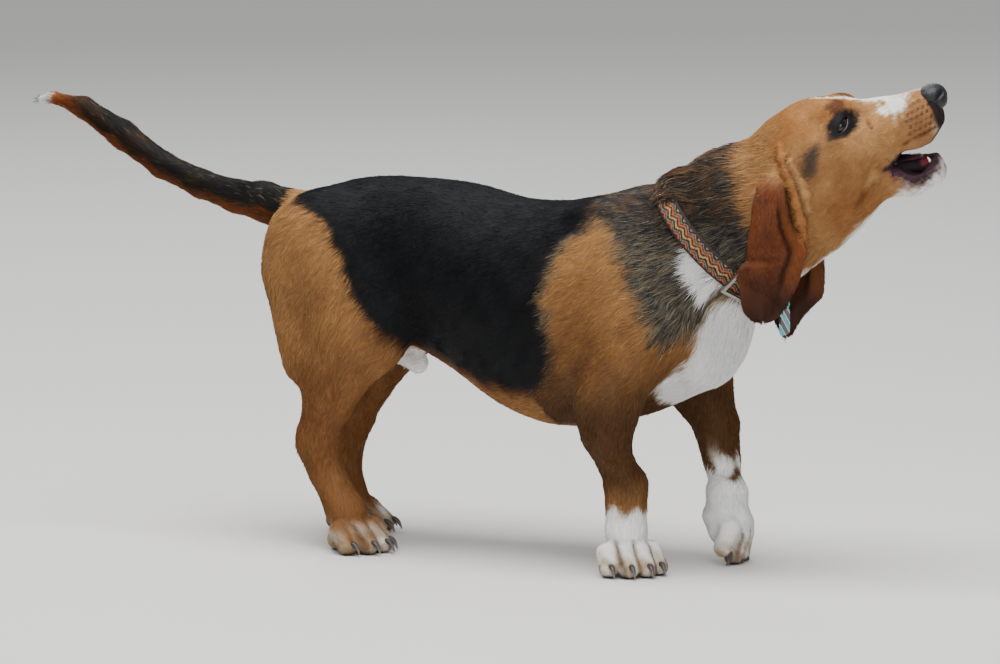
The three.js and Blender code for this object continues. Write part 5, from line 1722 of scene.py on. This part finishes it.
def bare(p):
    """Where no hair grows: soles, rims of the eyes, mouth, nose, and the skin under ears and collar."""
    h = toHead(p)
    out = p[:, 2] < 2.5
    for s in (-1, 1):
        across, down, away, _ = ears[s].place(p)
        under = ears[s].read(ears[s].sheet, across, down) - away
        out |= (np.abs(across) < 0.88) & (down > 0.1) & (down < 1) & (under > 1.2) & (under < 34)
    out |= (mouthHollow(h) < 1.6) & (h[:, 0] > 90)
    out |= noseField(h) < 1.5
    for s in (-1, 1):
        e = (h - eyePlace[s]) @ eyeAxes(s).T
        ring = np.sqrt((e[:, 1] / 11.5) ** 2 + (e[:, 2] / 6) ** 2)
        out |= (ring < 1) & (e[:, 0] > 0)
    out |= (inArea(h[:, 0], h[:, 2], eyePatch) < -2.6) & (np.abs(h[:, 1]) > 12) & (h[:, 0] > 50)
    along, radial, _ = aboutCollar(p)
    return out | ((np.abs(along) < collarWidth / 2 - 1) & (radial < collarReach))


def zoned(zone, start, *steps):
    """A value that starts the same everywhere and is drawn to another in each zone, in order."""
    value = np.full(len(zone["head"]), start)
    for name, wanted in steps:
        value += (wanted - value) * zone[name]
    return value


def grown(total, curved, weight, name, perPiece):
    """The pieces of one kind of hair, with at most perPiece blades in each."""
    roots, normals = scattered(total, weight)
    keep = ~bare(roots)
    roots, normals = roots[keep], normals[keep]
    order = np.argsort(roots[:, 0], kind="stable")
    roots, normals = roots[order], normals[order]
    n = len(roots)
    zone = zones(roots)
    length = zoned(zone, 8.5, ("neck", 11.0), ("chest", 10.0), ("leg", 6.0), ("foot", 4.5), ("tail", 8.0),
                   ("head", 4.8), ("ear", 4.2), ("muzzle", 3.0))
    length += (11.0 if curved else 4.0) * ruff(roots)
    height = 0.95 + 0.7 * (zone["neck"] + zone["chest"]) + 0.4 * zone["tail"] - 0.5 * zone["head"]
    height -= 0.55 * zone["ear"] + 0.4 * zone["foot"] * (1 - zone["head"])
    width = 0.32 + 0.032 * length
    if curved:
        length *= 1.25
        height *= 1.3
    length *= rng.uniform(0.7, 1.25, n)
    height *= rng.uniform(0.5, 1.3, n)
    ways = unit(lie(roots)) + rng.normal(size=(n, 3)) * 0.11
    ways += 0.22 * np.stack([d(roots * 1.3) for d in drift], 1)
    colours, grey = markings(roots, rng.normal(size=(n, 3)) * 1.2)
    width *= 1 - 0.35 * grey
    points, shading = blades(roots, normals, ways, length, width, height, curved)
    pick = rng.uniform(size=n)
    paleShare = grey * (0.12 + 0.45 * smoothstep(345, 300, roots[:, 2]))
    colours = blend(colours, paleGrey, (pick < paleShare) * rng.uniform(0.15, 0.6, n))
    colours = blend(colours, saddleBlack * 1.3, (pick > 1 - 0.35 * grey) * 0.85)
    light = colours.mean(1)
    shade = np.exp(rng.normal(size=n) * 0.12)
    shade = np.where(light < 60, np.exp(rng.normal(size=n) * 0.2), shade)
    shade = np.where(light > 190, np.exp(rng.normal(size=n) * 0.05), shade)
    warm = rng.normal(size=n) * 5
    colours = colours * shade[:, None] + warm[:, None] * np.array([1, 0.2, -0.8]) * (light < 190)[:, None]
    blade = curvedBlade if curved else straightBlade
    rootTone = np.clip(colours * 0.8, 3, 250)
    tipTone = np.clip(colours * 1.1 + 1, 3, 250)
    tones = np.stack([rootTone + (tipTone - rootTone) * share for share in blade["shares"]], 1)
    spots = unwrapped(roots, normals)[:, None] + patchSize * blade["patch"][None]
    made = []
    for number, start in enumerate(range(0, n, perPiece)):
        part = slice(start, min(start + perPiece, n))
        firsts = points.shape[1] * np.arange(len(roots[part]))
        tris = (blade["faces"][None] + firsts[:, None, None]).reshape(-1, 3)
        obj = meshObject(f"{name}_{number + 1}", points[part].reshape(-1, 3), tris)
        colourPoints(obj, linear(tones[part].reshape(-1, 3)))
        layer = obj.data.uv_layers.new(name="OFBake")
        layer.data.foreach_set("uv", spots[part].reshape(-1, 2)[tris.ravel()].astype(np.float32).ravel())
        obj.data.normals_split_custom_set_from_vertices(shading[part].reshape(-1, 3).astype(np.float32))
        made.append(obj)
    return made


def hairWeight(p):
    zone = zones(p)
    weight = zoned(zone, 1.0, ("leg", 1.2), ("foot", 2.2), ("head", 2.6), ("ear", 2.0), ("tail", 1.6))
    return weight + 1.6 * zone["muzzle"]


def tuftWeight(p):
    zone = zones(p)
    back = smoothstep(-300, -345, p[:, 0]) * (1 - zone["tail"])
    belly = smoothstep(190, 150, p[:, 2]) * (p[:, 0] > -240) * (p[:, 0] < -80)
    loose = 0.25 + zone["neck"] + 1.2 * zone["chest"] + 1.6 * zone["tail"] + back + belly
    return loose * (1 - 0.85 * zone["head"]) * (1 - 0.9 * zone["ear"]) * (1 - zone["foot"]) + 9 * ruff(p)


shortTotal = 300000
longTotal = 24000
coat = grown(shortTotal, False, hairWeight, "coat_short", 41000)
coat += grown(longTotal, True, tuftWeight, "coat_long", 17000)

# Materials

def material(name, rough=0.6, shine=0.5, coat=0.0, colour=None, bump=0.0, bumpSize=900.0):
    """A material whose colour is one value or the mesh's own tones, with a fine grain."""
    mat = bpy.data.materials.new(name)
    mat.use_nodes = True
    nodes, links = mat.node_tree.nodes, mat.node_tree.links
    shader = nodes["Principled BSDF"]
    shader.inputs["Roughness"].default_value = rough
    shader.inputs["Specular IOR Level"].default_value = shine
    shader.inputs["Coat Weight"].default_value = coat
    shader.inputs["Coat Roughness"].default_value = 0.08
    if colour is None:
        tones = nodes.new("ShaderNodeAttribute")
        tones.attribute_name = "tone"
        links.new(tones.outputs["Color"], shader.inputs["Base Color"])
    else:
        shader.inputs["Base Color"].default_value = (*linear(colour), 1)
    if bump:
        grain = nodes.new("ShaderNodeTexNoise")
        grain.inputs["Scale"].default_value = bumpSize
        grain.inputs["Detail"].default_value = 3.0
        where = nodes.new("ShaderNodeTexCoord")
        links.new(where.outputs["Object"], grain.inputs["Vector"])
        relief = nodes.new("ShaderNodeBump")
        relief.inputs["Strength"].default_value = bump
        relief.inputs["Distance"].default_value = 0.0006
        links.new(grain.outputs["Fac"], relief.inputs["Height"])
        links.new(relief.outputs["Normal"], shader.inputs["Normal"])
    return mat


def finished(obj, slot, mat, *nodes):
    obj.data.materials.append(mat)
    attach(obj, "root")
    if nodes:
        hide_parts(*nodes)


furMaterial = material("short_fur", rough=0.65, shine=0.12, bump=0.5)
hairMaterial = material("hair", rough=0.55, shine=0.14)
finished(skin, "coat_tan", furMaterial, *fleshNodes)
for piece in coat:
    finished(piece, "coat_tan", hairMaterial)
noseMaterial = material("nose_skin", rough=0.42, shine=0.4, coat=0.06, bump=0.6, bumpSize=1400)
finished(nosePiece, "nose", noseMaterial, "nose")
finished(tonguePiece, "tongue", material("tongue_skin", rough=0.32, coat=0.3), "tongue")
finished(teethPiece, "eye", material("tooth", rough=0.22, coat=0.5))
finished(clawPiece, "nose", material("claw", rough=0.38))
eyeMaterial = material("eye_surface", rough=0.12, shine=0.3, coat=0.25)
finished(eyePieces[-1], "eye", eyeMaterial, "eye_right")
finished(eyePieces[1], "eye", eyeMaterial, "eye_left")
finished(rimPiece, "eye", material("lid_rim", rough=0.25, coat=0.2))
weaveMaterial = material("collar_weave", rough=0.75, shine=0.3, bump=0.4, bumpSize=2200)
finished(collarPiece, "collar_weave", weaveMaterial, "collar")

metal = material("loop_metal", rough=0.3, colour=(140, 138, 132))
metal.node_tree.nodes["Principled BSDF"].inputs["Metallic"].default_value = 1.0
# The tag: teal, with white and dark diagonal stripes, partly a printed pattern and partly painted glints
tagStripesAndGlints = material("tag_print_and_glints", rough=0.35, coat=0.4, colour=(70, 150, 158))
tagNodes, tagLinks = tagStripesAndGlints.node_tree.nodes, tagStripesAndGlints.node_tree.links
where = tagNodes.new("ShaderNodeTexCoord")
bands = tagNodes.new("ShaderNodeTexWave")
bands.bands_direction = "DIAGONAL"
bands.inputs["Scale"].default_value = 34.0
steps = tagNodes.new("ShaderNodeValToRGB")
steps.color_ramp.interpolation = "CONSTANT"
for place, rgb in ((0.0, (30, 34, 38)), (0.42, (226, 230, 232)), (0.6, (58, 158, 170))):
    stop = steps.color_ramp.elements[0] if place == 0 else steps.color_ramp.elements.new(place)
    stop.color = (*linear(rgb), 1)
tagLinks.new(where.outputs["Object"], bands.inputs["Vector"])
tagLinks.new(bands.outputs["Color"], steps.inputs["Fac"])
tagLinks.new(steps.outputs["Color"], tagNodes["Principled BSDF"].inputs["Base Color"])
for node, finish, width in (("collar_loop", metal, 0.0009), ("collar_tag", tagStripesAndGlints, 0.0005)):
    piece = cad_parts[node]
    piece.data.materials.clear()
    piece.data.materials.append(finish)
    bevel = piece.modifiers.new("rounded_edges", "BEVEL")
    bevel.width = width
    bevel.segments = 3
    bevel.limit_method = "ANGLE"

# Floor, light and camera, in metres

floorHalf = 30.0
floorMesh = bpy.data.meshes.new("floor")
corners = [(x * floorHalf, y * floorHalf, 0) for x, y in ((-1, -1), (1, -1), (1, 1), (-1, 1))]
floorMesh.from_pydata(corners, [], [(0, 1, 2, 3)])
floor = bpy.data.objects.new("floor", floorMesh)
bpy.context.scene.collection.objects.link(floor)
floorMesh.materials.append(material("floor", rough=0.9, shine=0.2, colour=(222, 220, 217)))

# Each light: name, place, width, depth, power
centre = toFrame([-150.0, 0, 220])
for name, place, width, depth, power in (("top_light", (0.1, -0.5, 2.6), 2.2, 1.8, 112),
                                         ("front_light", (1.9, -2.4, 1.3), 1.8, 1.6, 38),
                                         ("back_light", (-1.6, 2.0, 1.9), 2.0, 1.4, 28)):
    light = bpy.data.lights.new(name, "AREA")
    light.shape = "RECTANGLE"
    light.size = width
    light.size_y = depth
    light.energy = power
    lamp = bpy.data.objects.new(name, light)
    lamp.location = place
    lamp.rotation_euler = (Vector(centre) - Vector(place)).to_track_quat("-Z", "Y").to_euler()
    bpy.context.scene.collection.objects.link(lamp)
world = bpy.data.worlds.new("studio")
world.use_nodes = True
world.node_tree.nodes["Background"].inputs["Color"].default_value = (0.86, 0.88, 0.9, 1)
world.node_tree.nodes["Background"].inputs["Strength"].default_value = 0.5
bpy.context.scene.world = world

sensorWidth = 36.0
cameraData = bpy.data.cameras.new("camera")
cameraData.sensor_width = sensorWidth
cameraData.lens = sensorWidth * viewDistance / (mmPerPixel * pictureWidth)
cameraData.clip_end = 200.0
camera = bpy.data.objects.new("camera", cameraData)
camera.location = toFrame(aimPoint) + unit(viewFrom) * viewDistance / 1000.0
camera.rotation_euler = (-Vector(unit(viewFrom))).to_track_quat("-Z", "Y").to_euler()
bpy.context.scene.collection.objects.link(camera)
bpy.context.scene.camera = camera
